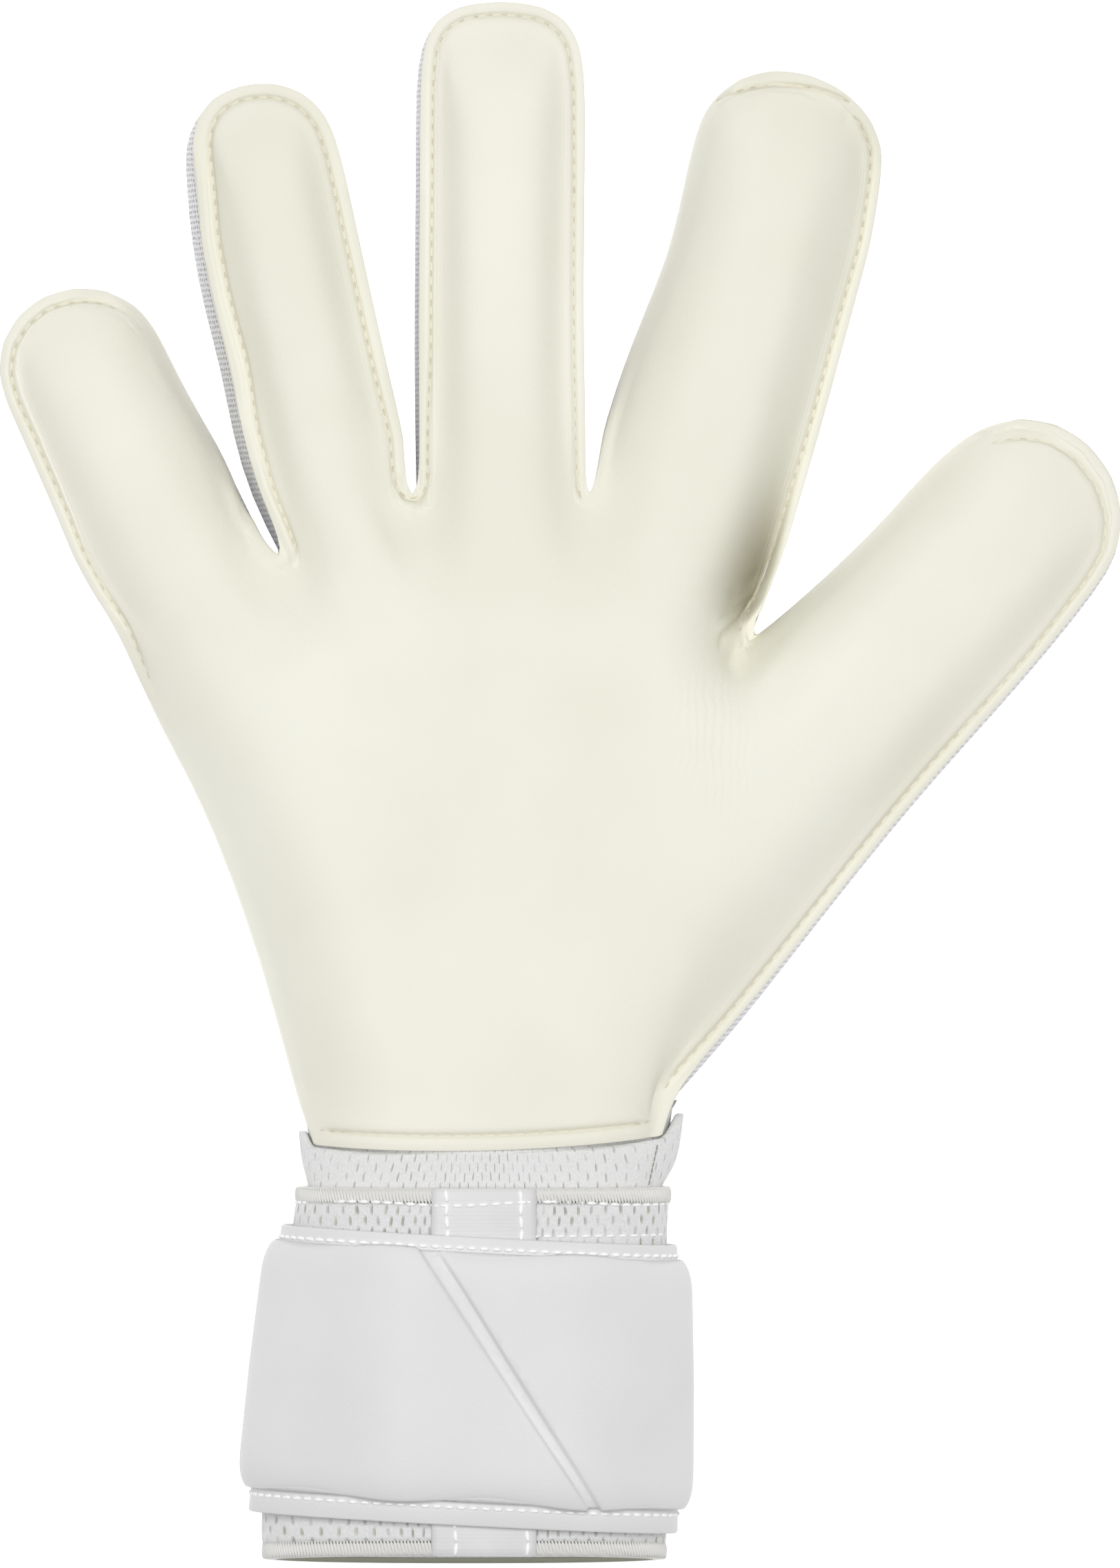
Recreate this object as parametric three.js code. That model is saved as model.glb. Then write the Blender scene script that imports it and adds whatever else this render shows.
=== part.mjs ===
// A goalkeeper glove for the right hand, lying on its back with the padded palm up.
// Units are millimetres. +X points to the thumb side, +Y to the fingertips, and +Z up out of the palm.
// The origin is on the surface that the glove lies on, under the middle of the hand.
// A thick foam palm and a thinner foam back are two sheets of one outline. Mesh side walls join them
// round the fingers, so the hand goes into the hollow between them. A knitted sleeve, an elastic
// bandage and a wide padded strap follow at the wrist.
import * as THREE from "three";

// The hand: the palm from hem to finger roots, and how wide it is where it meets the wrist.
const PALM_LENGTH = 118;
const WRIST_WIDTH = 70.2;
const HAND_DEPTH = 37;
const FINGER_DEPTH = 26;
const FINGER_CURL = 5.5;

// The foam sheets, their sewn edges and the side walls between them.
const PALM_THICKNESS = 5;
const LIP_THICKNESS = 3;
const LIP_WIDTH = 4.2;
const BACK_THICKNESS = 4;
const BACK_EDGE_THICKNESS = 3.2;
const WALL_THICKNESS = 1.5;
const WALL_BULGE = 1.1;
const WEB_GAP = 1.3;
const SEAM_GAP = 0.35;

// The cuff: its length below the palm's hem, and the layers that lie on each other from inside out.
const CUFF_LENGTH = 74.5;
const CUFF_DEPTH = 26;
const SLEEVE_THICKNESS = 1.5;
const BANDAGE_THICKNESS = 2;
const BINDING_WIDTH = 2.4;
const TAPE_WIDTH = 18.6;
const TAPE_THICKNESS = 0.5;
const STRAP_THICKNESS = 1;
const STRAP_WIDTH = 52;
const PAD_THICKNESS = 2.4;
const PAD_WIDTH = 45.2;
const LAYER_GAP = 0.3;

// How finely the shapes are divided.
const FINGER_COLUMNS = 6;
const FINGER_ROWS = 6;
const THUMB_ROWS = 8;
const PALM_ROWS = 9;
const CROTCH_ROW = 2;
const WRIST_ROW = 8;
const CUFF_SIDES = 44;
const STRAP_STEP_DEG = 9;

// Each finger's own size. lean is its angle from straight up, towards the thumb. leftRoot and
// rightRoot say how far along its length each side starts at the web, as a share of the length.
// leftLevel and rightLevel say how high each palm edge sits, as a share of the finger's depth: high
// where the palm is sewn flat on the side wall, low where it is rolled round the finger.
// leftSetback and rightSetback draw a sewn palm edge back from the side wall. Rows of sides give the
// outline: along as a share of the length, left and right of the centre line as shares of the width.
const FINGERS = {
  little: {
    lean: -26.5,
    length: 60.5,
    width: 31,
    tipDepth: 14.5,
    tipSquareness: 2,
    leftRoot: 0,
    rightRoot: 0.006,
    leftLevel: 0.76,
    rightLevel: 0.34,
    leftSetback: 0.3,
    rightSetback: 0,
    sides: [
      { along: 0, left: 0.484, right: 0.52 },
      { along: 0.08, left: 0.51, right: 0.524 },
      { along: 0.25, left: 0.529, right: 0.528 },
      { along: 0.41, left: 0.503, right: 0.526 },
      { along: 0.5, left: 0.497, right: 0.51 },
      { along: 0.6, left: 0.483, right: 0.502 },
      { along: 0.72, left: 0.484, right: 0.508 },
      { along: 0.76, left: 0.475, right: 0.51 },
    ],
  },
  ring: {
    lean: -11.8,
    length: 81.9,
    width: 31,
    tipDepth: 15,
    tipSquareness: 2.2,
    leftRoot: -0.032,
    rightRoot: 0.034,
    leftLevel: 0.78,
    rightLevel: 0.78,
    leftSetback: 2.5,
    rightSetback: 0.3,
    sides: [
      { along: -0.04, left: 0.358, right: 0.44 },
      { along: 0.034, left: 0.413, right: 0.446 },
      { along: 0.09, left: 0.462, right: 0.505 },
      { along: 0.14, left: 0.49, right: 0.514 },
      { along: 0.24, left: 0.503, right: 0.5 },
      { along: 0.36, left: 0.487, right: 0.497 },
      { along: 0.49, left: 0.508, right: 0.49 },
      { along: 0.6, left: 0.519, right: 0.49 },
      { along: 0.73, left: 0.5, right: 0.487 },
      { along: 0.82, left: 0.462, right: 0.484 },
    ],
  },
  middle: {
    lean: 0,
    length: 89.7,
    width: 31.8,
    tipDepth: 15.7,
    tipSquareness: 2.7,
    leftRoot: 0,
    rightRoot: 0,
    leftLevel: 0.78,
    rightLevel: 0.78,
    leftSetback: 1.4,
    rightSetback: 0.3,
    sides: [
      { along: 0, left: 0.485, right: 0.495 },
      { along: 0.08, left: 0.497, right: 0.503 },
      { along: 0.35, left: 0.503, right: 0.49 },
      { along: 0.6, left: 0.497, right: 0.495 },
      { along: 0.82, left: 0.495, right: 0.5 },
    ],
  },
  index: {
    lean: 15.6,
    length: 84.4,
    width: 37,
    tipDepth: 15,
    tipSquareness: 2.05,
    leftRoot: 0.003,
    rightRoot: -0.214,
    leftLevel: 0.34,
    rightLevel: 0.52,
    leftSetback: 0,
    rightSetback: 0.3,
    sides: [
      { along: -0.214, left: 0.45, right: 0.4635 },
      { along: -0.1, left: 0.45, right: 0.51 },
      { along: 0, left: 0.452, right: 0.532 },
      { along: 0.06, left: 0.481, right: 0.532 },
      { along: 0.14, left: 0.496, right: 0.534 },
      { along: 0.26, left: 0.49, right: 0.54 },
      { along: 0.36, left: 0.476, right: 0.535 },
      { along: 0.45, left: 0.445, right: 0.537 },
      { along: 0.53, left: 0.422, right: 0.535 },
      { along: 0.62, left: 0.425, right: 0.532 },
      { along: 0.72, left: 0.442, right: 0.532 },
      { along: 0.82, left: 0.457, right: 0.497 },
    ],
  },
  thumb: {
    lean: 43,
    length: 66,
    width: 40,
    tipDepth: 18,
    tipSquareness: 2,
    leftRoot: -0.045,
    rightRoot: -0.93,
    leftLevel: 0.34,
    rightLevel: 0.76,
    leftSetback: 0,
    rightSetback: 1.1,
    sides: [
      { along: -0.93, left: 0.52, right: 0.665 },
      { along: -0.64, left: 0.52, right: 0.624 },
      { along: -0.354, left: 0.52, right: 0.582 },
      { along: -0.045, left: 0.515, right: 0.546 },
      { along: 0.08, left: 0.487, right: 0.54 },
      { along: 0.24, left: 0.462, right: 0.537 },
      { along: 0.45, left: 0.446, right: 0.53 },
      { along: 0.6, left: 0.452, right: 0.508 },
      { along: 0.72, left: 0.445, right: 0.494 },
    ],
  },
};

// Where the palm meets the wrist, as shares of the palm's length down from the finger roots and of
// the wrist's width across from its middle. The hem is cut off across its corners.
const WRIST_CENTRE_X = -1.9;
const HEM = {
  originDown: 0.5627,
  wristDown: 0.9178,
  leftCornerDown: 0.995,
  leftCornerAcross: -0.4516,
  middleDown: 1.002,
  rightCornerDown: 0.981,
  rightCornerAcross: 0.447,
};

// The palm's side from the wrist up to the little finger, as shares of its rise and of its way out.
const PALM_SIDE = [
  { rise: 0.083, out: 0.06 },
  { rise: 0.263, out: 0.188 },
  { rise: 0.442, out: 0.344 },
  { rise: 0.622, out: 0.529 },
  { rise: 0.802, out: 0.774 },
];
const PALM_SIDE_LEVEL = 0.32;
const WEB_LEVEL = 0.84;
const CROTCH_LEVEL = 0.5;
const TIP_LEVEL = 0.76;
const WRIST_SIDE_SETBACK = 1.8;

// The hand's section by its reach from the palm's middle, as a share of the palm's length: top and
// bottom as shares between the depths above, curl as a share of the curl, and how far in from the
// outline the crown rolls off, as a share of the palm's length.
const CROWN = [
  { reach: 0, depth: 1, curl: 0, rollOff: 0.17 },
  { reach: 0.4, depth: 0.97, curl: 0, rollOff: 0.16 },
  { reach: 0.6, depth: 0.5, curl: 0, rollOff: 0.125 },
  { reach: 0.85, depth: 0.12, curl: 0.15, rollOff: 0.115 },
  { reach: 1.1, depth: 0, curl: 0.5, rollOff: 0.115 },
  { reach: 1.36, depth: 0, curl: 1, rollOff: 0.115 },
];
const CROWN_FULLNESS = 2;
const BACK_EDGE_LEVEL = 0.2;
const BACK_WEB_LEVEL = 0.1;
const BACK_ROLL_OFF = 8;
const BACK_FULLNESS = 2;

// The cuff's inside, by the share of the cuff's length below the hem: left and right as shares of
// the wrist's width from its middle, low and high as shares of the cuff's depth above its floor.
const CUFF_FORM = [
  { down: -0.14, left: -0.475, right: 0.485, low: -0.32, high: 0.93 },
  { down: 0, left: -0.469, right: 0.48, low: -0.28, high: 0.95 },
  { down: 0.045, left: -0.464, right: 0.469, low: -0.18, high: 0.97 },
  { down: 0.094, left: -0.439, right: 0.415, low: 0, high: 1 },
  { down: 0.2, left: -0.454, right: 0.404, low: 0, high: 1 },
  { down: 0.9, left: -0.54, right: 0.408, low: 0, high: 1 },
  { down: 1, left: -0.524, right: 0.4, low: 0, high: 1 },
];
const CUFF_ROUNDNESS = 2.3;
const BANDAGE_DOWN = 0.093;
const CUFF_MOUTH_ARCH = 1.4;
const TAPE_SHIFT = -0.8;
const STRAP_DOWN = 0.212;
const STRAP_SLOPE = -0.052;
const PAD_DROP = 2.6;
const STRAP_START_DEG = -130;
const STRAP_END_DEG = 290;
const PAD_START_DEG = -52;
const PAD_END_DEG = 286;
const STRAP_CLIMB_DEG = 50;

// The strap's and its pad's sections across their width: the pad is thin at its sewn edges.
const STRAP_PROFILE = [
  { across: 0, full: 1 },
  { across: 0.33, full: 1 },
  { across: 0.67, full: 1 },
  { across: 1, full: 1 },
];
const PAD_CROWN = 1.1;
const PAD_PROFILE = [
  { across: 0, full: 0.4 },
  { across: 0.07, full: 1 },
  { across: 0.5, full: PAD_CROWN },
  { across: 0.93, full: 1 },
  { across: 1, full: 0.4 },
];

// The order of the fingers from the little finger to the index, and of their columns in the palm.
const ROW_OF_FINGERS = ["little", "ring", "middle", "index"];
const PALM_COLUMNS = ROW_OF_FINGERS.length * (FINGER_COLUMNS + 1) - 1;

const KNUCKLE_Y = HEM.originDown * PALM_LENGTH;
const HEM_Y = KNUCKLE_Y - PALM_LENGTH;

// Small helpers.
const mix = (a, b, share) => a + (b - a) * share;
const smoothStep = (share) => THREE.MathUtils.smoothstep(share, 0, 1);

// Reads a column of a table at a value of its first column, in straight or eased steps.
function readTable(table, key, value, column) {
  if (value <= table[0][key]) return table[0][column];
  for (let i = 1; i < table.length; i++) {
    const low = table[i - 1];
    const high = table[i];
    if (value <= high[key]) return mix(low[column], high[column], (value - low[key]) / (high[key] - low[key]));
  }
  return table[table.length - 1][column];
}

// A power curve that starts steep at 0 and ends level at 1, as foam rolls over an edge.
function bulge(share, fullness) {
  const rest = 1 - THREE.MathUtils.clamp(share, 0, 1);
  return Math.pow(1 - Math.pow(rest, fullness), 1 / fullness);
}

// A closed solid from loops of points with the same count. Each loop is a section, and the first and
// last are joined round, or closed by caps.
function loft(loops, joined) {
  const count = loops[0].length;
  const positions = loops.flat().flatMap((p) => [p.x, p.y, p.z]);
  const faces = [];
  const last = joined ? loops.length : loops.length - 1;
  for (let i = 0; i < last; i++) {
    const here = i * count;
    const next = ((i + 1) % loops.length) * count;
    for (let j = 0; j < count; j++) {
      const k = (j + 1) % count;
      faces.push(here + j, here + k, next + k, here + j, next + k, next + j);
    }
  }
  if (!joined) {
    const end = (loops.length - 1) * count;
    const half = count / 2;
    for (let j = 0; j < half - 1; j++) {
      const across = count - 1 - j;
      faces.push(j, across, across - 1, j, across - 1, j + 1);
      faces.push(end + j, end + across - 1, end + across, end + j, end + j + 1, end + across - 1);
    }
  }
  return solidGeometry(positions, faces);
}

// A geometry with its faces turned outwards.
function solidGeometry(positions, faces) {
  let volume = 0;
  const at = (i) => new THREE.Vector3(positions[3 * i], positions[3 * i + 1], positions[3 * i + 2]);
  for (let i = 0; i < faces.length; i += 3) {
    volume += at(faces[i]).dot(at(faces[i + 1]).cross(at(faces[i + 2])));
  }
  const outward = volume > 0 ? faces : faces.toReversed();
  const geometry = new THREE.BufferGeometry();
  geometry.setAttribute("position", new THREE.Float32BufferAttribute(positions, 3));
  geometry.setIndex(outward);
  return geometry;
}

// The fingers' frames: each hangs on its neighbour at the web between them, starting from the
// middle finger, whose root is on the line of the knuckles.
function fingerPoint(finger, along, side) {
  const share = readTable(finger.sides, "along", along, side < 0 ? "left" : "right");
  return localPoint(finger, along * finger.length, side * share * finger.width);
}

function localPoint(finger, up, across) {
  const angle = THREE.MathUtils.degToRad(finger.lean);
  const x = finger.root.x + Math.sin(angle) * up + Math.cos(angle) * across;
  const y = finger.root.y + Math.cos(angle) * up - Math.sin(angle) * across;
  return new THREE.Vector2(x, y);
}

function placeFinger(finger, side, along, target) {
  finger.root = new THREE.Vector2(0, 0);
  finger.root = target.clone().sub(fingerPoint(finger, along, side));
}

const { little, ring, middle, index, thumb } = FINGERS;
middle.root = new THREE.Vector2(0, KNUCKLE_Y);
const webGap = new THREE.Vector2(WEB_GAP, 0);
placeFinger(ring, 1, ring.rightRoot, fingerPoint(middle, middle.leftRoot, -1).sub(webGap));
placeFinger(little, 1, little.rightRoot, fingerPoint(ring, ring.leftRoot, -1).sub(webGap));
placeFinger(index, -1, index.leftRoot, fingerPoint(middle, middle.rightRoot, 1).add(webGap));
placeFinger(thumb, -1, thumb.leftRoot, fingerPoint(index, index.rightRoot, 1));

// The plan: a net of four-sided cells that covers the hand's outline, and the rim nodes round it in
// clockwise order. A rim node knows its place on the outline and what its palm and back edges do.
function sidePath(points, rows) {
  return new THREE.SplineCurve(points).getSpacedPoints(rows);
}

// Outline points from the web up to where the tip's curve starts.
function fingerSide(finger, side, root, start) {
  const arcStart = 1 - finger.tipDepth / finger.length;
  const between = finger.sides.filter((row) => row.along > root + 0.05 && row.along < arcStart - 0.04);
  const points = between.map((row) => fingerPoint(finger, row.along, side));
  return [...start, ...points, fingerPoint(finger, arcStart, side)];
}

// A point of the tip's curve, at a share from its left start to its right one.
function tipPoint(finger, share) {
  const arcStart = 1 - finger.tipDepth / finger.length;
  const side = share < 0.5 ? "left" : "right";
  const halfWidth = readTable(finger.sides, "along", arcStart, side) * finger.width;
  const angle = Math.PI * (1 - share);
  const power = 2 / finger.tipSquareness;
  const across = Math.sign(Math.cos(angle)) * Math.pow(Math.abs(Math.cos(angle)), power) * halfWidth;
  const up = Math.pow(Math.sin(angle), power) * finger.tipDepth;
  return localPoint(finger, finger.length - finger.tipDepth + up, across);
}

// The nodes of a finger's outline, from its left root over the tip to its right root.
function fingerRim(finger, rows, leftPath, rightPath) {
  const rim = [];
  const tipSteps = FINGER_COLUMNS + 2;
  const edge = (row, col, point, level, sewn, setback) => rim.push({ row, col, point, level, sewn, setback });
  const leftSewn = finger.leftLevel > 0.5 ? 1 : 0;
  const rightSewn = finger.rightLevel > 0.5 ? 1 : 0;
  for (let i = 0; i <= rows; i++) {
    edge(i, 0, leftPath[i], finger.leftLevel, leftSewn, finger.leftSetback);
  }
  for (let j = 0; j <= FINGER_COLUMNS; j++) {
    const share = (j + 1) / tipSteps;
    const inward = smoothStep(Math.min(share, 1 - share) * 2.2);
    const level = mix(share < 0.5 ? finger.leftLevel : finger.rightLevel, TIP_LEVEL, inward);
    const sewn = mix(share < 0.5 ? leftSewn : rightSewn, 1, inward);
    const setback = mix(share < 0.5 ? finger.leftSetback : finger.rightSetback, 0.2, inward);
    edge(rows + 1, j, tipPoint(finger, share), level, sewn, setback);
  }
  for (let i = rows; i >= 0; i--) {
    edge(i, FINGER_COLUMNS, rightPath[i], finger.rightLevel, rightSewn, finger.rightSetback);
  }
  return rim;
}

function makePlan() {
  const nodes = [];
  const newNode = () => nodes.push(new THREE.Vector2()) - 1;
  const newGrid = (rows, columns) => Array.from({ length: rows }, () => Array.from({ length: columns }, newNode));
  const palmGrid = newGrid(PALM_ROWS + 1, PALM_COLUMNS + 1);
  const rim = [];
  const grids = [palmGrid];

  // The palm's left side runs from the little finger's root to the wrist.
  const wristY = KNUCKLE_Y - HEM.wristDown * PALM_LENGTH;
  const wristLeft = new THREE.Vector2(WRIST_CENTRE_X - WRIST_WIDTH / 2, wristY);
  const wristRight = new THREE.Vector2(WRIST_CENTRE_X + WRIST_WIDTH / 2, wristY);
  const sideTop = fingerPoint(little, little.leftRoot, -1);
  const sidePoints = PALM_SIDE.map(
    (row) => new THREE.Vector2(mix(wristLeft.x, sideTop.x, row.out), mix(wristLeft.y, sideTop.y, row.rise)),
  );
  const leftSide = sidePath([wristLeft, ...sidePoints, sideTop], WRIST_ROW);
  for (let row = WRIST_ROW; row > 0; row--) {
    const nearFinger = smoothStep(1 - row / 2);
    const level = mix(PALM_SIDE_LEVEL, little.leftLevel, nearFinger);
    rim.push({ id: palmGrid[row][0], point: leftSide[WRIST_ROW - row], level, sewn: nearFinger, setback: 0 });
  }

  // Four fingers stand in a row on the palm's top row, with a web between each two.
  ROW_OF_FINGERS.forEach((name, place) => {
    const finger = FINGERS[name];
    const first = place * (FINGER_COLUMNS + 1);
    const grid = [palmGrid[0].slice(first, first + FINGER_COLUMNS + 1), ...newGrid(FINGER_ROWS + 1, FINGER_COLUMNS + 1)];
    const rightStart = name === "index" ? 0 : finger.rightRoot;
    const left = sidePath(fingerSide(finger, -1, finger.leftRoot, [fingerPoint(finger, finger.leftRoot, -1)]), FINGER_ROWS);
    const right = sidePath(fingerSide(finger, 1, rightStart, [fingerPoint(finger, rightStart, 1)]), FINGER_ROWS);
    const edge = fingerRim(finger, FINGER_ROWS, left, right);
    edge.forEach((node) => rim.push({ ...node, id: grid[node.row][node.col], finger: name }));
    grids.push(grid);
  });
  softenWebs(rim);

  // The index finger's right side runs on down to the crotch of the thumb.
  for (let row = 1; row <= CROTCH_ROW; row++) {
    const share = row / CROTCH_ROW;
    const point = fingerPoint(index, index.rightRoot * share, 1);
    const level = mix(index.rightLevel, CROTCH_LEVEL, share * share);
    const crotch = share * share;
    rim.push({ id: palmGrid[row][PALM_COLUMNS], point, level, sewn: 1, setback: index.rightSetback, crotch });
  }

  // The thumb fans out of the palm's right side, between the crotch and the wrist.
  const thumbRoot = [];
  for (let row = CROTCH_ROW; row <= WRIST_ROW; row++) thumbRoot.push(palmGrid[row][PALM_COLUMNS]);
  const thumbGrid = [thumbRoot, ...newGrid(THUMB_ROWS + 1, FINGER_COLUMNS + 1)];
  const crotch = fingerPoint(index, index.rightRoot, 1);
  const inner = sidePath(fingerSide(thumb, -1, thumb.leftRoot, [crotch]), THUMB_ROWS);
  const outerStart = [wristRight, fingerPoint(thumb, thumb.rightRoot, 1)];
  const outer = sidePath(fingerSide(thumb, 1, thumb.rightRoot, outerStart), THUMB_ROWS);
  const thumbEdge = fingerRim(thumb, THUMB_ROWS, inner, outer).slice(1);
  thumbEdge.forEach((node) => {
    const nearWrist = node.col === FINGER_COLUMNS ? smoothStep(1 - node.row / 3) : 0;
    const nearCrotch = node.col === 0 ? smoothStep(1 - node.row / 3) : 0;
    node.setback = mix(node.setback, WRIST_SIDE_SETBACK, nearWrist);
    node.level = mix(node.level, CROTCH_LEVEL, nearCrotch);
    node.crotch = nearCrotch;
    rim.push({ ...node, id: thumbGrid[node.row][node.col], finger: "thumb" });
  });
  grids.push(thumbGrid);

  // The hem runs back from right to left, bowed a little downwards.
  const across = (share) => WRIST_CENTRE_X + share * WRIST_WIDTH;
  const down = (share) => KNUCKLE_Y - share * PALM_LENGTH;
  const hem = new THREE.QuadraticBezierCurve(
    new THREE.Vector2(across(HEM.rightCornerAcross), down(HEM.rightCornerDown)),
    new THREE.Vector2(WRIST_CENTRE_X, down(2 * HEM.middleDown - (HEM.rightCornerDown + HEM.leftCornerDown) / 2)),
    new THREE.Vector2(across(HEM.leftCornerAcross), down(HEM.leftCornerDown)),
  ).getSpacedPoints(PALM_COLUMNS);
  hem.forEach((point, i) => {
    rim.push({ id: palmGrid[PALM_ROWS][PALM_COLUMNS - i], point, level: 1, sewn: 1, setback: 0, hem: true });
  });

  const cells = grids.flatMap(gridCells);
  spreadNodes(nodes, palmGrid, grids.slice(1), rim, cells);
  return { nodes, cells, rim };
}

// Lifts the palm's edge at each web, so that the fingers part in a notch and not in a deep valley.
function softenWebs(rim) {
  const reachOfWeb = 2;
  rim.forEach((node) => {
    if (node.finger === undefined || node.row > reachOfWeb) return;
    const outermost = (node.finger === "little" && node.col === 0) || (node.finger === "index" && node.col > 0);
    if (outermost) return;
    const share = smoothStep(1 - node.row / (reachOfWeb + 1));
    node.level = mix(node.level, WEB_LEVEL, share);
    node.web = share;
    node.sewn = Math.max(node.sewn, share);
  });
}

function gridCells(grid) {
  const cells = [];
  for (let i = 0; i + 1 < grid.length; i++) {
    for (let j = 0; j + 1 < grid[i].length; j++) {
      cells.push([grid[i][j], grid[i][j + 1], grid[i + 1][j + 1], grid[i + 1][j]]);
    }
  }
  return cells;
}

// The inward direction at each rim node, across the two edges that meet there.
function rimNormals(points) {
  return points.map((point, i) => {
    const before = points[(i + points.length - 1) % points.length];
    const after = points[(i + 1) % points.length];
    const first = point.clone().sub(before).normalize();
    const second = after.clone().sub(point).normalize();
    const along = first.add(second).normalize();
    return new THREE.Vector2(along.y, -along.x);
  });
}

// Sets the rim nodes just inside the sewn lip, and spreads the others evenly between them.
function spreadNodes(nodes, palmGrid, fingerGrids, rim, cells) {
  const inward = rimNormals(rim.map((node) => node.point));
  const fixed = new Set();
  rim.forEach((node, i) => {
    node.inward = inward[i];
    nodes[node.id].copy(node.point).addScaledVector(inward[i], node.setback + LIP_WIDTH);
    fixed.add(node.id);
  });
  const fill = (grid) =>
    grid.forEach((row, i) => {
      const left = nodes[row[0]];
      const right = nodes[row[row.length - 1]];
      row.forEach((id, j) => {
        if (!fixed.has(id)) nodes[id].copy(left).lerp(right, j / (row.length - 1));
      });
    });
  const thumbBase = palmGrid.map((row) => row[PALM_COLUMNS]);
  for (let row = CROTCH_ROW + 1; row < WRIST_ROW; row++) {
    const share = (row - CROTCH_ROW) / (WRIST_ROW - CROTCH_ROW);
    nodes[thumbBase[row]].copy(nodes[thumbBase[CROTCH_ROW]]).lerp(nodes[thumbBase[WRIST_ROW]], share);
  }
  fill(palmGrid);
  fingerGrids.forEach(fill);

  const neighbours = nodes.map(() => new Set());
  cells.forEach((cell) =>
    cell.forEach((id, k) => {
      neighbours[id].add(cell[(k + 1) % 4]);
      neighbours[id].add(cell[(k + 3) % 4]);
    }),
  );
  for (let round = 0; round < 60; round++) {
    nodes.forEach((point, id) => {
      if (fixed.has(id)) return;
      const middleOf = new THREE.Vector2();
      neighbours[id].forEach((other) => middleOf.add(nodes[other]));
      point.lerp(middleOf.divideScalar(neighbours[id].size), 0.8);
    });
  }
}

const plan = makePlan();

// The hand's side line, for the crown: the rim without the hem, run on straight down the wrist.
const sideLine = (() => {
  const sides = plan.rim.filter((node) => !node.hem);
  const runOn = (node) => ({ ...node, point: node.point.clone().add(new THREE.Vector2(0, -CUFF_LENGTH)) });
  return [runOn(sides[0]), ...sides, runOn(sides[sides.length - 1])];
})();

// The nearest place on the side line: its distance, and what the edges do there.
function nearestSide(point) {
  let best = { distance: Infinity };
  for (let i = 0; i + 1 < sideLine.length; i++) {
    const a = sideLine[i];
    const b = sideLine[i + 1];
    const along = b.point.clone().sub(a.point);
    const share = THREE.MathUtils.clamp(point.clone().sub(a.point).dot(along) / along.lengthSq(), 0, 1);
    const distance = point.distanceTo(a.point.clone().addScaledVector(along, share));
    if (distance < best.distance) {
      best = {
        distance,
        level: mix(a.level, b.level, share),
        sewn: mix(a.sewn, b.sewn, share),
        setback: mix(a.setback, b.setback, share),
        web: mix(a.web ?? 0, b.web ?? 0, share),
      };
    }
  }
  return best;
}

// The hand's section at a point of the plan: its depth, its lift off the floor and its roll-off.
function sectionAt(point) {
  const reach = Math.hypot(point.x, Math.max(point.y, 0)) / PALM_LENGTH;
  return {
    depth: mix(FINGER_DEPTH, HAND_DEPTH, readTable(CROWN, "reach", reach, "depth")),
    lift: FINGER_CURL * readTable(CROWN, "reach", reach, "curl"),
    rollOff: PALM_LENGTH * readTable(CROWN, "reach", reach, "rollOff"),
  };
}

function palmHeight(point) {
  const section = sectionAt(point);
  const side = nearestSide(point);
  const lip = side.sewn * (LIP_WIDTH + side.setback);
  const share = bulge((side.distance - lip) / (section.rollOff - lip), CROWN_FULLNESS);
  return section.lift + section.depth * mix(side.level, 1, share);
}

function backHeight(point) {
  const section = sectionAt(point);
  const side = nearestSide(point);
  const level = mix(BACK_EDGE_LEVEL, BACK_WEB_LEVEL, side.web);
  const share = bulge(side.distance / BACK_ROLL_OFF, BACK_FULLNESS);
  return section.lift + section.depth * mix(level, 0, share);
}

// A foam sheet over the plan. Its outer face has the height asked for, and its inner face lies one
// thickness behind it. insets are the rings from the sheet's edge to the plan's own rim nodes.
function sheet({ insets, height, outerSign, thickness, edgeNormal }) {
  const { nodes, cells, rim } = plan;
  const points = nodes.map((point) => point.clone());
  const rings = insets.map((inset) =>
    rim.map((node) => points.push(node.point.clone().addScaledVector(node.inward, inset(node))) - 1),
  );
  rings.push(rim.map((node) => node.id));
  const quads = [...cells];
  for (let k = 0; k + 1 < rings.length; k++) {
    for (let i = 0; i < rim.length; i++) {
      const next = (i + 1) % rim.length;
      quads.push([rings[k][i], rings[k][next], rings[k + 1][next], rings[k + 1][i]]);
    }
  }
  const outer = points.map((point) => new THREE.Vector3(point.x, point.y, height(point)));
  const upward = quads.map((quad) => (planArea(quad.map((id) => points[id])) > 0 ? quad : quad.toReversed()));
  const normals = vertexNormals(outer, upward).map((normal) => normal.multiplyScalar(outerSign));
  rim.forEach((node, i) => normals[rings[0][i]].copy(edgeNormal(node)));
  const inner = outer.map((point, id) => point.clone().addScaledVector(normals[id], -thickness(id, rings)));
  const count = outer.length;
  const faces = [];
  const addQuad = (a, b, c, d) => {
    if (outer[a % count].distanceTo(outer[c % count]) < outer[b % count].distanceTo(outer[d % count])) {
      faces.push(a, b, c, a, c, d);
    } else {
      faces.push(a, b, d, b, c, d);
    }
  };
  upward.forEach(([a, b, c, d]) => {
    if (outerSign > 0) {
      addQuad(a, b, c, d);
      addQuad(count + d, count + c, count + b, count + a);
    } else {
      addQuad(d, c, b, a);
      addQuad(count + a, count + b, count + c, count + d);
    }
  });
  const edge = rings[0];
  edge.forEach((id, i) => {
    const next = edge[(i + 1) % edge.length];
    if (outerSign > 0) faces.push(id, next, count + next, id, count + next, count + id);
    else faces.push(next, id, count + id, next, count + id, count + next);
  });
  return solidGeometry([...outer, ...inner].flatMap((p) => [p.x, p.y, p.z]), faces);
}

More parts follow.
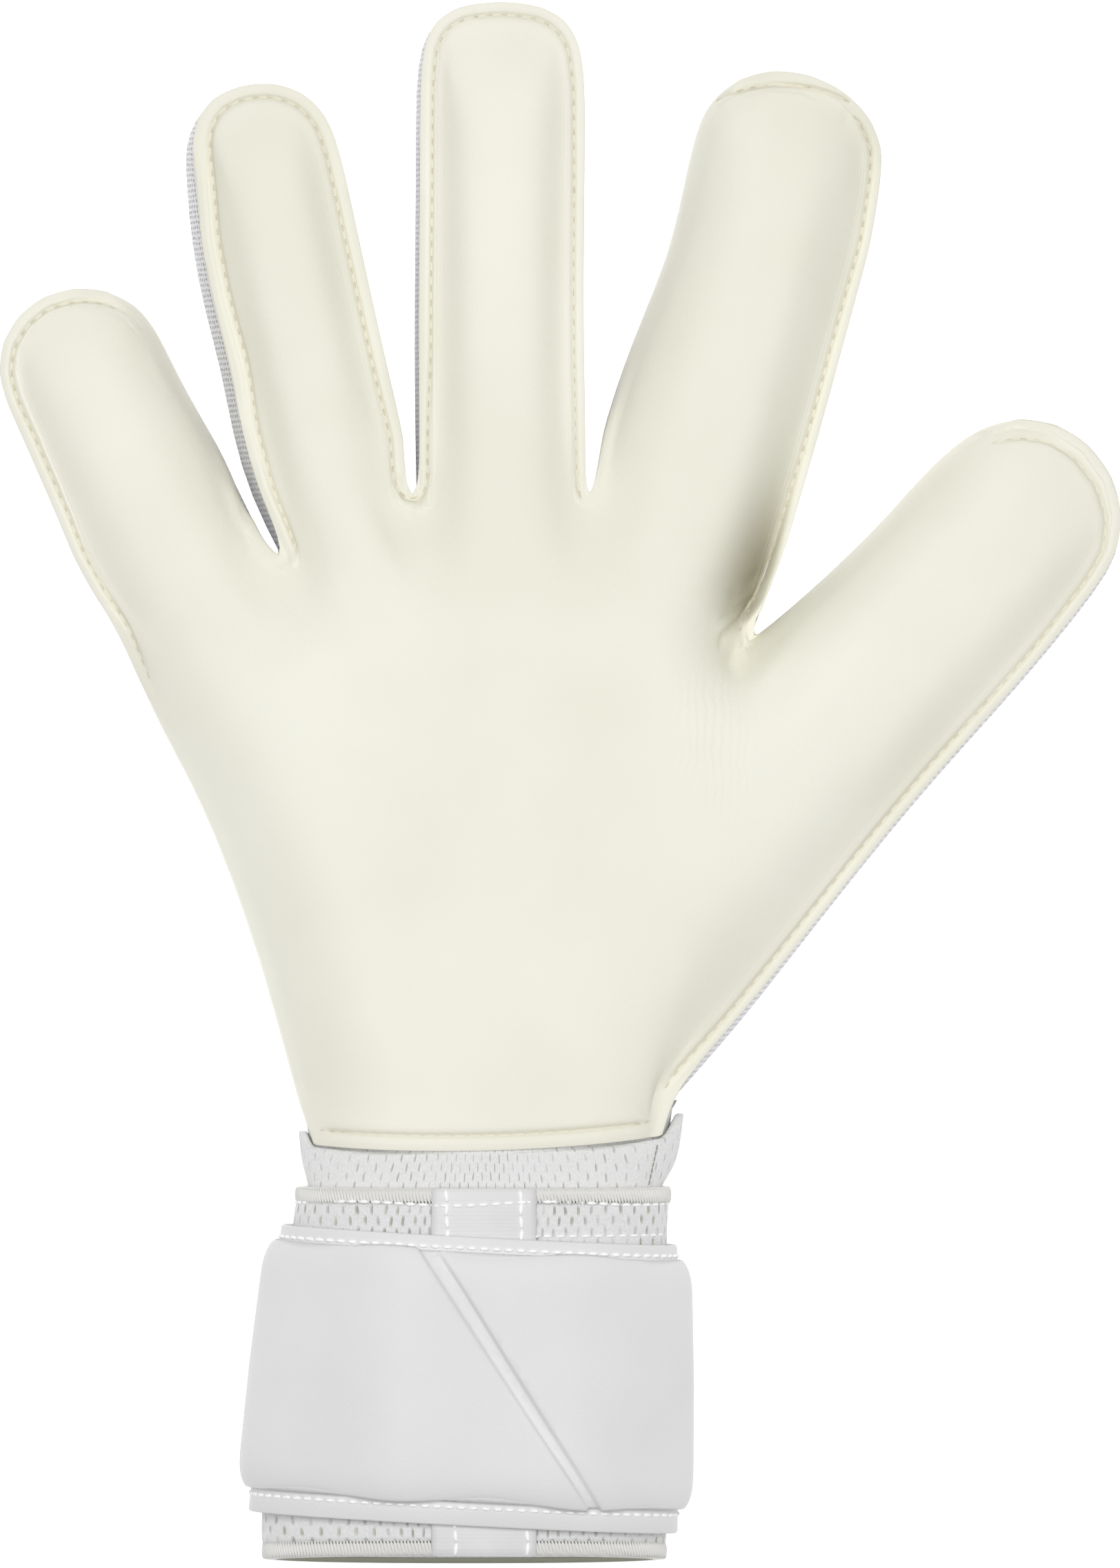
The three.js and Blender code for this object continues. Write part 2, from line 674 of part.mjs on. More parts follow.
function planArea(corners) {
  return corners.reduce((sum, p, i) => sum + p.cross(corners[(i + 1) % corners.length]), 0) / 2;
}

function vertexNormals(points, quads) {
  const normals = points.map(() => new THREE.Vector3());
  quads.forEach(([a, b, c, d]) => {
    const first = points[c].clone().sub(points[a]);
    const normal = first.cross(points[d].clone().sub(points[b]));
    [a, b, c, d].forEach((id) => normals[id].add(normal));
  });
  return normals.map((normal) => normal.normalize());
}

// The palm: thick latex foam, pressed thin at the sewn lip round its edge.
function palmSheet() {
  return sheet({
    insets: [(node) => node.setback, (node) => node.setback + LIP_WIDTH / 2],
    height: palmHeight,
    outerSign: 1,
    thickness: (id, rings) => (rings[0].includes(id) || rings[1].includes(id) ? LIP_THICKNESS : PALM_THICKNESS),
    edgeNormal: palmEdgeNormal,
  });
}

// The palm's edge faces up where it is sewn flat, and outwards where it is rolled round the hand.
function palmEdgeNormal(node) {
  const flat = node.hem ? 1 : node.sewn;
  const outward = new THREE.Vector3(-node.inward.x, -node.inward.y, 0);
  return outward.lerp(new THREE.Vector3(0, 0, 1), flat).normalize();
}

// The back: one plain foam sheet, flat where it rests, with its edge turned up to the side walls.
function backSheet() {
  return sheet({
    insets: [() => 0],
    height: backHeight,
    outerSign: -1,
    thickness: (id, rings) => (rings[0].includes(id) ? BACK_EDGE_THICKNESS : BACK_THICKNESS),
    edgeNormal: (node) => {
      if (node.hem) return new THREE.Vector3(0, 0, -1);
      return new THREE.Vector3(-node.inward.x, -node.inward.y, 0);
    },
  });
}

// A side wall stands between the back's edge and the underside of the palm's edge, along the rim
// from one node to another, and bulges out halfway up.
function sideWall(from, to) {
  const stations = plan.rim.slice(from, to + 1);
  const loops = stations.map((node) => {
    const section = sectionAt(node.point);
    const backLevel = mix(BACK_EDGE_LEVEL, BACK_WEB_LEVEL, node.web ?? 0);
    const low = section.lift + section.depth * backLevel + SEAM_GAP;
    const planAt = (inset) => node.point.clone().addScaledVector(node.inward, inset);
    const lipPoints = [planAt(node.setback), planAt(node.setback + LIP_WIDTH / 2)];
    const palmEdge = Math.min(...lipPoints.map(palmHeight));
    const spare = 1 + 8 * node.sewn * (1 - node.sewn) + 2 * (node.crotch ?? 0);
    const high = palmEdge - palmEdgeNormal(node).z * LIP_THICKNESS - SEAM_GAP * spare;
    const halfWall = WALL_THICKNESS / 2;
    const foot = BACK_EDGE_THICKNESS / 2;
    const head = mix(foot, node.setback + LIP_WIDTH / 2 - halfWall, node.sewn);
    const belly = Math.max(halfWall + 0.15, Math.min(foot, head) - WALL_BULGE);
    const middle = (low + high) / 2;
    const at = (inset, z) => new THREE.Vector3(planAt(inset).x, planAt(inset).y, z);
    return [
      at(foot - halfWall, low),
      at(belly - halfWall, middle),
      at(head - halfWall, high),
      at(head + halfWall, high),
      at(belly + halfWall, middle),
      at(foot + halfWall, low),
    ];
  });
  return loft(loops, false);
}

// The cuff's rounded section: its middle and its half sizes at a place along the cuff.
function cuffSection(y) {
  const read = (column) => readTable(CUFF_FORM, "down", (HEM_Y - y) / CUFF_LENGTH, column);
  return {
    x: WRIST_CENTRE_X + ((read("left") + read("right")) / 2) * WRIST_WIDTH,
    z: CUFF_FLOOR + ((read("low") + read("high")) / 2) * CUFF_DEPTH,
    halfWidth: ((read("right") - read("left")) / 2) * WRIST_WIDTH,
    halfDepth: ((read("high") - read("low")) / 2) * CUFF_DEPTH,
  };
}

// A point of that section at an angle from the thumb side, grown outwards by its layers.
function cuffPoint(y, angleDeg, out) {
  const section = cuffSection(y);
  const angle = THREE.MathUtils.degToRad(angleDeg);
  const power = 2 / CUFF_ROUNDNESS;
  const round = (value) => Math.sign(value) * Math.pow(Math.abs(value), power);
  const x = section.x + (section.halfWidth + out) * round(Math.cos(angle));
  const z = section.z + (section.halfDepth + out) * round(Math.sin(angle));
  return new THREE.Vector3(x, y, z);
}

// The angle at which the front of the section reaches an x.
function frontAngle(y, x, out) {
  const section = cuffSection(y);
  const across = (x - section.x) / (section.halfWidth + out);
  const cosine = Math.sign(across) * Math.pow(Math.abs(across), CUFF_ROUNDNESS / 2);
  const sine = Math.pow(1 - Math.pow(Math.abs(across), CUFF_ROUNDNESS), 0.5);
  return THREE.MathUtils.radToDeg(Math.atan2(sine, cosine));
}

// How far out of the cuff's form each layer starts. Under the cuff the strap lies double.
const SLEEVE_OUT = SLEEVE_THICKNESS;
const BANDAGE_IN = SLEEVE_OUT + LAYER_GAP;
const BANDAGE_OUT = BANDAGE_IN + BANDAGE_THICKNESS;
const TAPE_IN = BANDAGE_OUT + LAYER_GAP;
const STRAP_IN = TAPE_IN + TAPE_THICKNESS + LAYER_GAP;
const STRAP_LAP = STRAP_THICKNESS + LAYER_GAP;
const PAD_IN = STRAP_IN + STRAP_LAP;
const CUFF_FLOOR = PAD_IN + STRAP_LAP + PAD_THICKNESS * PAD_CROWN;

// A strip of the cuff lengthways at one angle, from one y to another, bent where the form bends.
function cuffStrip(startY, endY, bends, angleAt, inside, outside) {
  const levels = [startY, ...bends.map((down) => HEM_Y - down * CUFF_LENGTH), endY];
  const face = levels.map((y) => cuffPoint(y, angleAt(y), outside));
  const lining = levels.map((y) => cuffPoint(y, angleAt(y), inside));
  return [...face, ...lining.toReversed()];
}

// A tube round the cuff. start and end give its two edges' y at each angle.
function cuffTube({ inside, outside, start, end }) {
  const bends = bendsBetween(start(90), end(90));
  const loops = [];
  for (let i = 0; i < CUFF_SIDES; i++) {
    const angle = (360 * i) / CUFF_SIDES;
    loops.push(cuffStrip(start(angle), end(angle), bends, () => angle, inside, outside));
  }
  return loft(loops, true);
}

// The rows of the cuff's form that lie well between two places.
function bendsBetween(startY, endY) {
  const margin = 0.02;
  const downOf = (y) => (HEM_Y - y) / CUFF_LENGTH;
  const rows = CUFF_FORM.map((row) => row.down);
  return rows.filter((down) => down > downOf(startY) + margin && down < downOf(endY) - margin);
}

// The plan's lower edge at an x: the wrist's corners, and the hem between them.
function lowerEdge(x) {
  const lower = [];
  const { rim } = plan;
  rim.forEach((node, i) => {
    const next = rim[(i + 1) % rim.length];
    if (node.hem || next.hem) lower.push([node.point, next.point]);
  });
  for (const [a, b] of lower) {
    const low = Math.min(a.x, b.x);
    const high = Math.max(a.x, b.x);
    if (x >= low && x <= high) return mix(a.y, b.y, (x - a.x) / (b.x - a.x));
  }
  return rim[0].point.y;
}

const bandageTop = HEM_Y - BANDAGE_DOWN * CUFF_LENGTH;
const cuffEnd = HEM_Y - CUFF_LENGTH;
const mouth = (angle) => cuffEnd + CUFF_MOUTH_ARCH * Math.sin(THREE.MathUtils.degToRad(angle));

function sleeve() {
  const cornerReach = 1.6;
  const start = (angle) => {
    const { x } = cuffPoint(HEM_Y, angle, SLEEVE_OUT);
    return Math.min(...[x - cornerReach, x, x + cornerReach].map(lowerEdge)) - SEAM_GAP;
  };
  return cuffTube({
    inside: 0,
    outside: SLEEVE_OUT,
    start,
    end: (angle) => mouth(angle) + BINDING_WIDTH / 2,
  });
}

function bandage() {
  return cuffTube({
    inside: BANDAGE_IN,
    outside: BANDAGE_OUT,
    start: () => bandageTop - BINDING_WIDTH - LAYER_GAP,
    end: (angle) => mouth(angle) + BINDING_WIDTH + LAYER_GAP,
  });
}

function binding(edge, direction) {
  return cuffTube({
    inside: BANDAGE_IN,
    outside: BANDAGE_OUT,
    start: edge,
    end: (angle) => edge(angle) + direction * BINDING_WIDTH,
  });
}

// The tape is sewn on the front of the bandage, from its top binding to its bottom one.
function tape() {
  const steps = 4;
  const bends = bendsBetween(bandageTop, mouth(90));
  const loops = [];
  for (let i = 0; i <= steps; i++) {
    const x = WRIST_CENTRE_X + TAPE_SHIFT + TAPE_WIDTH * (0.5 - i / steps);
    const angleAt = (y) => frontAngle(y, x, TAPE_IN);
    const end = mouth(angleAt(cuffEnd));
    loops.push(cuffStrip(bandageTop, end, bends, angleAt, TAPE_IN, TAPE_IN + TAPE_THICKNESS));
  }
  return loft(loops, false);
}

// The strap is wound once round the cuff and over its own start, which lies under the hand's back.
// lap says how far a turn has climbed outwards over the start.
function strapLayer({ startDeg, endDeg, width, drop, inside, thickness, profile }) {
  const turnOver = STRAP_START_DEG + 360;
  const steps = Math.round((endDeg - startDeg) / STRAP_STEP_DEG);
  const loops = [];
  for (let i = 0; i <= steps; i++) {
    const angle = mix(startDeg, endDeg, i / steps);
    const lap = STRAP_LAP * smoothStep((angle - turnOver + STRAP_CLIMB_DEG) / STRAP_CLIMB_DEG);
    const middleY = HEM_Y - STRAP_DOWN * CUFF_LENGTH - STRAP_WIDTH / 2 - drop;
    const loop = [];
    const place = (across, out) => {
      const level = mix(middleY + width / 2, middleY - width / 2, across);
      const flat = cuffPoint(level, angle, out + lap);
      const y = level + STRAP_SLOPE * (flat.x - WRIST_CENTRE_X);
      return cuffPoint(y, angle, out + lap);
    };
    profile.forEach((row) => loop.push(place(row.across, inside + row.full * thickness)));
    profile.toReversed().forEach((row) => loop.push(place(row.across, inside)));
    loops.push(loop);
  }
  return loft(loops, false);
}

// The finishes.
const finish = (color, roughness) => new THREE.MeshStandardMaterial({ color, roughness, metalness: 0 });
const latex = finish(0xefeede, 0.75);
const backFoam = finish(0xe9e9e6, 0.7);
const gussetMesh = finish(0xe6e6ea, 0.9);
const sleeveKnit = finish(0xe2e2e3, 0.9);
const bandageMesh = finish(0xdadad8, 0.9);
const bindingThread = finish(0xe0e0df, 0.85);
const tapeSatin = finish(0xe6e6e6, 0.5);
const strapFabric = finish(0xe4e4e4, 0.8);
const padSkin = finish(0xe8e8e8, 0.7);

const glove = new THREE.Group();
function add(name, geometry, material) {
  const mesh = new THREE.Mesh(geometry, material);
  mesh.name = name;
  glove.add(mesh);
}

add("palm_foam", palmSheet(), latex);
add("back_foam", backSheet(), backFoam);

// Side walls meet at the fingertips, where each leaves a small gap to the next.
const tipOf = (name) => plan.rim.findIndex((node) => node.finger === name && node.row > (name === "thumb" ? THUMB_ROWS : FINGER_ROWS) && node.col === FINGER_COLUMNS / 2);
const lastSide = plan.rim.findIndex((node) => node.hem) - 1;
const tips = [...ROW_OF_FINGERS, "thumb"].map(tipOf);
const WALLS = ["wall_little_outer", "wall_little_ring", "wall_ring_middle", "wall_middle_index", "wall_index_thumb", "wall_thumb_outer"];
const wallEnds = [0, ...tips, lastSide];
WALLS.forEach((name, i) => {
  add(name, sideWall(wallEnds[i], wallEnds[i + 1]), gussetMesh);
});

add("wrist_sleeve", sleeve(), sleeveKnit);
add("bandage", bandage(), bandageMesh);
add("bandage_top_binding", binding(() => bandageTop, -1), bindingThread);
add("bandage_mouth_binding", binding(mouth, 1), bindingThread);
add("bandage_tape", tape(), tapeSatin);
add(
  "strap",
  strapLayer({
    startDeg: STRAP_START_DEG,
    endDeg: STRAP_END_DEG,
    width: STRAP_WIDTH,
    drop: 0,
    inside: STRAP_IN,
    thickness: STRAP_THICKNESS,
    profile: STRAP_PROFILE,
  }),
  strapFabric,
);
add(
  "strap_pad",
  strapLayer({
    startDeg: PAD_START_DEG,
    endDeg: PAD_END_DEG,
    width: PAD_WIDTH,
    drop: PAD_DROP - (STRAP_WIDTH - PAD_WIDTH) / 2,
    inside: PAD_IN,
    thickness: PAD_THICKNESS,
    profile: PAD_PROFILE,
  }),
  padSkin,
);

export default glove;
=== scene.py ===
"""A goalkeeper glove for the right hand, lying palm up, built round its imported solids."""
import math

import bmesh
import bpy
import numpy as np
from mathutils import Matrix, Vector
from mathutils.bvhtree import BVHTree


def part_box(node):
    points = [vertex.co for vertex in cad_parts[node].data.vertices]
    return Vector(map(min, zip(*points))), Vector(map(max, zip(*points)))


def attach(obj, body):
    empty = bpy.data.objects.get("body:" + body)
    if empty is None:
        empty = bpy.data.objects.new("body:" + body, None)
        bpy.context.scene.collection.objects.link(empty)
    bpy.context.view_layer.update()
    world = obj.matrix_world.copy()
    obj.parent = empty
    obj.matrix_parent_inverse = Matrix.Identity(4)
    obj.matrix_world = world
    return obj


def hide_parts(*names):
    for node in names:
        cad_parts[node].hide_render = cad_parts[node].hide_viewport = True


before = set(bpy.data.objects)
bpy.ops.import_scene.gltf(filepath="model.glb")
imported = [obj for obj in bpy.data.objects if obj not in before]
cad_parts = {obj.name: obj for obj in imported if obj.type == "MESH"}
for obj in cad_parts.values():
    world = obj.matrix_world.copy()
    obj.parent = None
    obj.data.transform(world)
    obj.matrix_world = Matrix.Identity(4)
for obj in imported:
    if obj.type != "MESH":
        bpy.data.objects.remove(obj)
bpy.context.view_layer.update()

# ---------------------------------------------------------------------------------------------
# The palm: one sheet of smooth cream latex foam, 5 mm thick, over the palm, the finger fronts and
# the thumb. It is cut flat and sewn down where it meets the mesh side walls, which leaves a round
# lip outside the stitches, and it is rolled round the index finger, the thumb and the palm's side.
# ---------------------------------------------------------------------------------------------
MM = 0.001


def linear(hex_colour):
    """An sRGB hex colour as linear red, green, blue and alpha."""
    channels = [int(hex_colour[i:i + 2], 16) / 255 for i in (0, 2, 4)]
    return (*[c / 12.92 if c <= 0.04045 else ((c + 0.055) / 1.055) ** 2.4 for c in channels], 1.0)


def add_node(tree, kind, settings=None, **inputs):
    """Adds a node, sets its properties, and fills or links its inputs."""
    node = tree.nodes.new(kind)
    for name, value in (settings or {}).items():
        setattr(node, name, value)
    for name, value in inputs.items():
        key = int(name[1:]) if name[0] == "_" else name.replace("_", " ")
        socket = node.inputs[key]
        if isinstance(value, bpy.types.NodeSocket):
            tree.links.new(value, socket)
        else:
            socket.default_value = value
    return node


def new_finish(name, roughness, sheen=0.0):
    """A material with its shader, ready for its pattern."""
    material = bpy.data.materials.new(name)
    material.use_nodes = True
    tree = material.node_tree
    shader = tree.nodes["Principled BSDF"]
    shader.inputs["Roughness"].default_value = roughness
    shader.inputs["IOR"].default_value = 1.5
    shader.inputs["Specular IOR Level"].default_value = 0.35
    shader.inputs["Sheen Weight"].default_value = sheen
    return material, tree, shader


def mottled(tree, shader, place, light, dark, patch_mm, share=1.0):
    """Colour that drifts between two close tones in patches, as on hand-finished soft goods."""
    noise = add_node(tree, "ShaderNodeTexNoise", Vector=place, Scale=1 / (patch_mm * MM), Detail=3.0, Roughness=0.5)
    ramp = add_node(tree, "ShaderNodeMapRange", Value=noise.outputs[0], From_Min=0.35, From_Max=0.65, To_Max=share)
    tone = add_node(tree, "ShaderNodeMix", {"data_type": "RGBA"}, _0=ramp.outputs[0], _6=linear(light), _7=linear(dark))
    tree.links.new(tone.outputs[2], shader.inputs["Base Color"])
    return tone


def bumped(tree, shader, height, depth_mm):
    """Fine relief that the mesh is too coarse to hold."""
    bump = add_node(tree, "ShaderNodeBump", Strength=1.0, Distance=depth_mm * MM, Height=height)
    tree.links.new(bump.outputs[0], shader.inputs["Normal"])


# Natural latex foam with a smooth moulded skin: matt, warm and faintly grained, its cells just showing.
# Painted shade greys it in the deep fold at the thumb's crotch and along the seams, where its own map marks the shade.
latex_skin, tree, shader = new_finish("smooth_latex_foam", 0.62)
place = add_node(tree, "ShaderNodeTexCoord").outputs["Object"]
skin = mottled(tree, shader, place, "f2f1e4", "edebdc", 45)
# Painted shade: the map's first value darkens the fold at the thumb's crotch to olive-grey, its second lays a paler
# grey line of shade along each seam's groove.
painted_shade_uv = add_node(tree, "ShaderNodeUVMap", {"uv_map": "fold_and_seam_shade"}).outputs[0]
painted_shade_uv = add_node(tree, "ShaderNodeSeparateXYZ", Vector=painted_shade_uv)
skin = add_node(tree, "ShaderNodeMix", {"data_type": "RGBA"}, _0=painted_shade_uv.outputs[0], _6=skin.outputs[2], _7=linear("a6a18b"))
skin = add_node(tree, "ShaderNodeMix", {"data_type": "RGBA"}, _0=painted_shade_uv.outputs[1], _6=skin.outputs[2], _7=linear("d5d0b9"))
tree.links.new(skin.outputs[2], shader.inputs["Base Color"])
cells = add_node(tree, "ShaderNodeTexNoise", Vector=place, Scale=1 / (0.5 * MM), Detail=3.0, Roughness=0.6)
# Fine upright wrinkles, pressed into the heel of the thumb round (38, 20) mm.
wrinkled = {"centre": (38, 20), "reach": (10, 19), "apart": 1.5}
reach = [1 / (r * MM) for r in wrinkled["reach"]]
patch = add_node(tree, "ShaderNodeMapping", Vector=place, Scale=(*reach, 0),
                 Location=[-c * MM * r for c, r in zip((*wrinkled["centre"], 0), (*reach, 0))])
patch = add_node(tree, "ShaderNodeTexGradient", {"gradient_type": "SPHERICAL"}, Vector=patch.outputs[0])
lines = add_node(tree, "ShaderNodeTexWave", Vector=place, Scale=0.314 / (wrinkled["apart"] * MM), Distortion=5.0, Detail=2.0)
lines = add_node(tree, "ShaderNodeMath", {"operation": "MULTIPLY"}, _0=lines.outputs["Fac"], _1=patch.outputs["Fac"])
relief = add_node(tree, "ShaderNodeMath", {"operation": "MULTIPLY_ADD"}, _0=lines.outputs[0], _1=2.0, _2=cells.outputs[0])
bumped(tree, shader, relief.outputs[0], 0.05)


def copy_of(node):
    """A node's mesh with its triangles merged and joined to four-sided faces."""
    bm = bmesh.new()
    bm.from_mesh(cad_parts[node].data)
    bm.edges.layers.float.new("crease_edge")
    bmesh.ops.remove_doubles(bm, verts=bm.verts, dist=0.02 * MM)
    bend = math.radians(70)
    bmesh.ops.join_triangles(bm, faces=bm.faces, angle_face_threshold=bend, angle_shape_threshold=bend)
    return bm


def rounded(bm, levels):
    """The same mesh bent smoothly, as foam and cloth bend."""
    mesh = bpy.data.meshes.new("shape")
    bm.to_mesh(mesh)
    bm.free()
    holder = bpy.data.objects.new("shape", mesh)
    bpy.context.scene.collection.objects.link(holder)
    bend = holder.modifiers.new("bend", "SUBSURF")
    bend.levels = bend.render_levels = levels
    shaped = bmesh.new()
    shaped.from_object(holder, bpy.context.evaluated_depsgraph_get())
    bpy.data.objects.remove(holder)
    bpy.data.meshes.remove(mesh)
    return shaped


def crease(bm, edges, sharpness):
    """Keeps edges from rounding over when the mesh is bent smoothly."""
    layer = bm.edges.layers.float["crease_edge"]
    for edge in edges:
        edge[layer] = sharpness


def cut_edges(bm, least=50):
    """The edges where a sheet was cut, or folded sharply."""
    bm.normal_update()
    return [edge for edge in bm.edges if len(edge.link_faces) == 2 and edge.calc_face_angle() > math.radians(least)]


def make_piece(name, bm, material, slot, *nodes):
    """Makes an object of a finished mesh. It rides with the glove and stands for the named nodes."""
    mesh = bpy.data.meshes.new(name)
    bm.to_mesh(mesh)
    bm.free()
    mesh.materials.clear()
    mesh.materials.append(material)
    mesh.shade_smooth()
    piece = bpy.data.objects.new(name, mesh)
    bpy.context.scene.collection.objects.link(piece)
    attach(piece, "root")
    if nodes:
        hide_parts(*nodes)
    return piece


def rim_of(bm):
    """The palm's edge seen from above: a closed clockwise line where the outer face ends."""
    outer = {face for face in bm.faces if face.normal.z > 0.02}
    edges = [e for e in bm.edges if sum(face in outer for face in e.link_faces) == 1]
    after = {}
    for edge in edges:
        face = next(face for face in edge.link_faces if face in outer)
        loop = next(loop for loop in face.loops if loop.edge == edge)
        after[loop.link_loop_next.vert] = loop.vert
    loops = []
    while after:
        line = [next(iter(after))]
        while line[-1] in after:
            line.append(after.pop(line[-1]))
        loops.append(line)
    around = max(loops, key=len)[:-1]
    return np.array([vert.co[:2] for vert in around]) / MM, edges


def resampled(line, step):
    """Points at even steps along an open line. Anything past three columns is carried along."""
    length = np.concatenate([[0], np.cumsum(np.linalg.norm(np.diff(line[:, :3], axis=0), axis=1))])
    count = max(2, int(round(length[-1] / step)) + 1)
    at = np.linspace(0, length[-1], count)
    return np.stack([np.interp(at, length, line[:, k]) for k in range(line.shape[1])], axis=1)


def inset_at(seam, share):
    """How far inside the palm's edge a seam lies, at a share of its length."""
    return np.interp(share, *zip(*seam["inset"]))


def seam_line(rim, seam):
    """The line of stitches inside a stretch of the palm's edge, or through a seam's own points."""
    if "through" in seam:
        return resampled(np.array(seam["through"]), 0.6)
    first = np.argmin(np.linalg.norm(rim - np.array(seam["start"]), axis=1))
    last = np.argmin(np.linalg.norm(rim - np.array(seam["end"]), axis=1))
    line = rim[first:last + 1] if last >= first else np.concatenate([rim[first:-1], rim[:last + 1]])
    along = np.gradient(line, axis=0)
    along /= np.linalg.norm(along, axis=1)[:, None]
    inward = np.stack([along[:, 1], -along[:, 0]], axis=1)
    line = line + inward * inset_at(seam, np.linspace(0, 1, len(line)))[:, None]
    for _ in range(12):
        line[1:-1] = (line[:-2] + 2 * line[1:-1] + line[2:]) / 4
    return resampled(line, 0.6)


def distance_to(points, line):
    """How far each point is from a line, and how far along the line it lies, from 0 to 1."""
    nearest = np.full(len(points), 1e9)
    share = np.zeros(len(points))
    for i in range(len(line) - 1):
        a, along = line[i], line[i + 1] - line[i]
        t = np.clip(((points - a) @ along) / (along @ along), 0, 1)
        gap = np.linalg.norm(points - a - t[:, None] * along, axis=1)
        closer = gap < nearest
        nearest[closer] = gap[closer]
        share[closer] = (i + t[closer]) / (len(line) - 1)
    return nearest, share


# Where the palm is sewn flat, in millimetres on the plan, clockwise from the little finger. inset is
# how far the stitches lie inside the palm's edge, at shares of the seam's length, and fade is the
# share over which an end runs out. The cap of the index finger has its own line, given by its points.
SEAMS = [
    {"name": "little", "start": (-61.5, 33.5), "end": (-66.0, 99.0), "inset": [(0, 2.0), (0.6, 2.0), (0.75, 2.4), (1, 2.4)], "fade": 0.12},
    {
        "name": "ring_and_middle",
        "start": (-38.6, 53.5),
        "end": (15.9, 66.2),
        "inset": [
            (0, 2.0), (0.05, 2.8), (0.1, 3.2), (0.2, 3.2), (0.24, 2.5), (0.3, 2.5), (0.45, 2.5), (0.485, 1.5),
            (0.51, 1.5), (0.55, 2.2), (0.75, 2.4), (0.85, 1.9), (0.97, 1.8), (1, 1.4),
        ],
        "fade": 0.006,
    },
    {
        "name": "index_cap",
        "through": [(38.9, 137.7), (40.9, 139.0), (45.2, 140.2), (49.2, 140.7), (53.2, 140.6), (57.0, 140.0), (60.4, 139.0), (63.9, 137.3)],
        "inset": [(0, 4.0), (1, 4.0)],
        "fade": 0.05,
    },
    {"name": "index_side", "start": (66.5, 138.8), "end": (44.5, 40.5), "inset": [(0, 2.0), (1, 2.0)], "fade": 0.03},
    {
        "name": "thumb",
        "start": (87.9, 78.7),
        "end": (33.2, -42.0),
        "inset": [(0, 3.6), (0.15, 3.6), (0.28, 2.2), (0.4, 1.9), (1, 1.9)],
        "fade": 0.03,
    },
    {"name": "hem", "start": (30.5, -47.4), "end": (-33.0, -50.8), "inset": [(0, 2.8), (1, 2.8)], "fade": 0.05},
]
GROOVE_DEPTH = 0.45
GROOVE_WIDTH = 0.4
LIP_SWELL = 0.2
INNER_SWELL = 0.4
STITCH_PITCH = 2.65
# The crease that the thumb's crotch presses into the palm, and the hollow that runs down to it inside
# the index finger's edge, where the sheet is pulled down towards the side wall.
CROTCH_FOLD = [(50.4, 56.6), (48.3, 51.3), (46.9, 47.9), (45.0, 45.2), (42.6, 43.0), (40.8, 41.2), (39.9, 37.8)]
CROTCH_HOLLOW = [(55.0, 78.0), (51.6, 67.0), (49.2, 59.0), (47.4, 52.5), (44.8, 46.5), (41.0, 42.0)]
HOLLOW_DEPTH = 4.0

palm = copy_of("palm_foam")
rim, rim_edges = rim_of(palm)
rim = resampled(np.concatenate([rim, rim[:1]]), 0.8)
crease(palm, rim_edges, 0.55)
crease(palm, [edge for edge in cut_edges(palm) if edge.verts[0].co.y < -40 * MM], 0.95)
palm = rounded(palm, 2)
palm.normal_update()
seam_lines = [seam_line(rim, seam) for seam in SEAMS]
# The mesh is made finer along the seams, so that the groove and its puckers come out crisp.
faces = [face for face in palm.faces if face.normal.z > 0.1]
middles = np.array([face.calc_center_median()[:2] for face in faces]) / MM
creased = seam_lines + [np.array(CROTCH_FOLD)]
near = np.min([distance_to(middles, line)[0] for line in creased], axis=0) < 2.8
fine_edges = {edge for face, is_near in zip(faces, near) if is_near for edge in face.edges}
bmesh.ops.subdivide_edges(palm, edges=list(fine_edges), cuts=3, use_grid_fill=True)
palm.normal_update()
verts = list(palm.verts)
spot = np.array([v.co for v in verts]) / MM
facing = np.array([v.normal for v in verts])
outer = facing[:, 2] > 0.05
plan = spot[:, :2]
lift = np.zeros(len(verts))
seam_shade_paint = np.zeros(len(verts))
from_rim, _ = distance_to(plan, rim)
for seam, line in zip(SEAMS, seam_lines):
    gap, share = distance_to(plan, line)
    ends = np.clip(np.minimum(share, 1 - share) / seam["fade"], 0, 1)
    stitch = share * (len(line) - 1) * 0.6 / STITCH_PITCH
    pucker = 0.85 + 0.15 * np.cos(2 * np.pi * stitch)
    outside = from_rim < inset_at(seam, share)
    lift -= ends * GROOVE_DEPTH * pucker * np.exp(-((gap / GROOVE_WIDTH) ** 2))
    lift += ends * INNER_SWELL * ~outside * (np.exp(-((gap / 3.2) ** 2)) - np.exp(-((gap / 0.9) ** 2)))
    # Painted shade along the seam's groove, which the skin's map carries to its colour.
    seam_shade_paint = np.maximum(seam_shade_paint, 0.45 * ends * np.exp(-((gap / 0.45) ** 2)))
    lift += ends * LIP_SWELL * outside * (1 - np.exp(-((gap / 1.1) ** 2))) * np.clip(from_rim / 1.2, 0, 1)
gap, share = distance_to(plan, np.array(CROTCH_FOLD))
lift -= 1.4 * np.sin(np.pi * share) * np.exp(-((gap / 0.7) ** 2))
# Puckers gather at the thumb's crotch.
gather = np.exp(-(((plan[:, 0] - 44) / 5) ** 2) - (((plan[:, 1] - 46) / 7) ** 2))
lift += 0.35 * gather * np.sin(2 * np.pi * (plan[:, 1] - 0.6 * plan[:, 0]) / 4.2)
gap, share = distance_to(plan, np.array(CROTCH_HOLLOW))
hollow = np.sin(np.pi * share ** 1.5) * np.exp(-((gap / np.where(from_rim < 3.2, 2.2, 5.5)) ** 2))
sink = HOLLOW_DEPTH * hollow * np.clip(from_rim / 2.2, 0, 1)
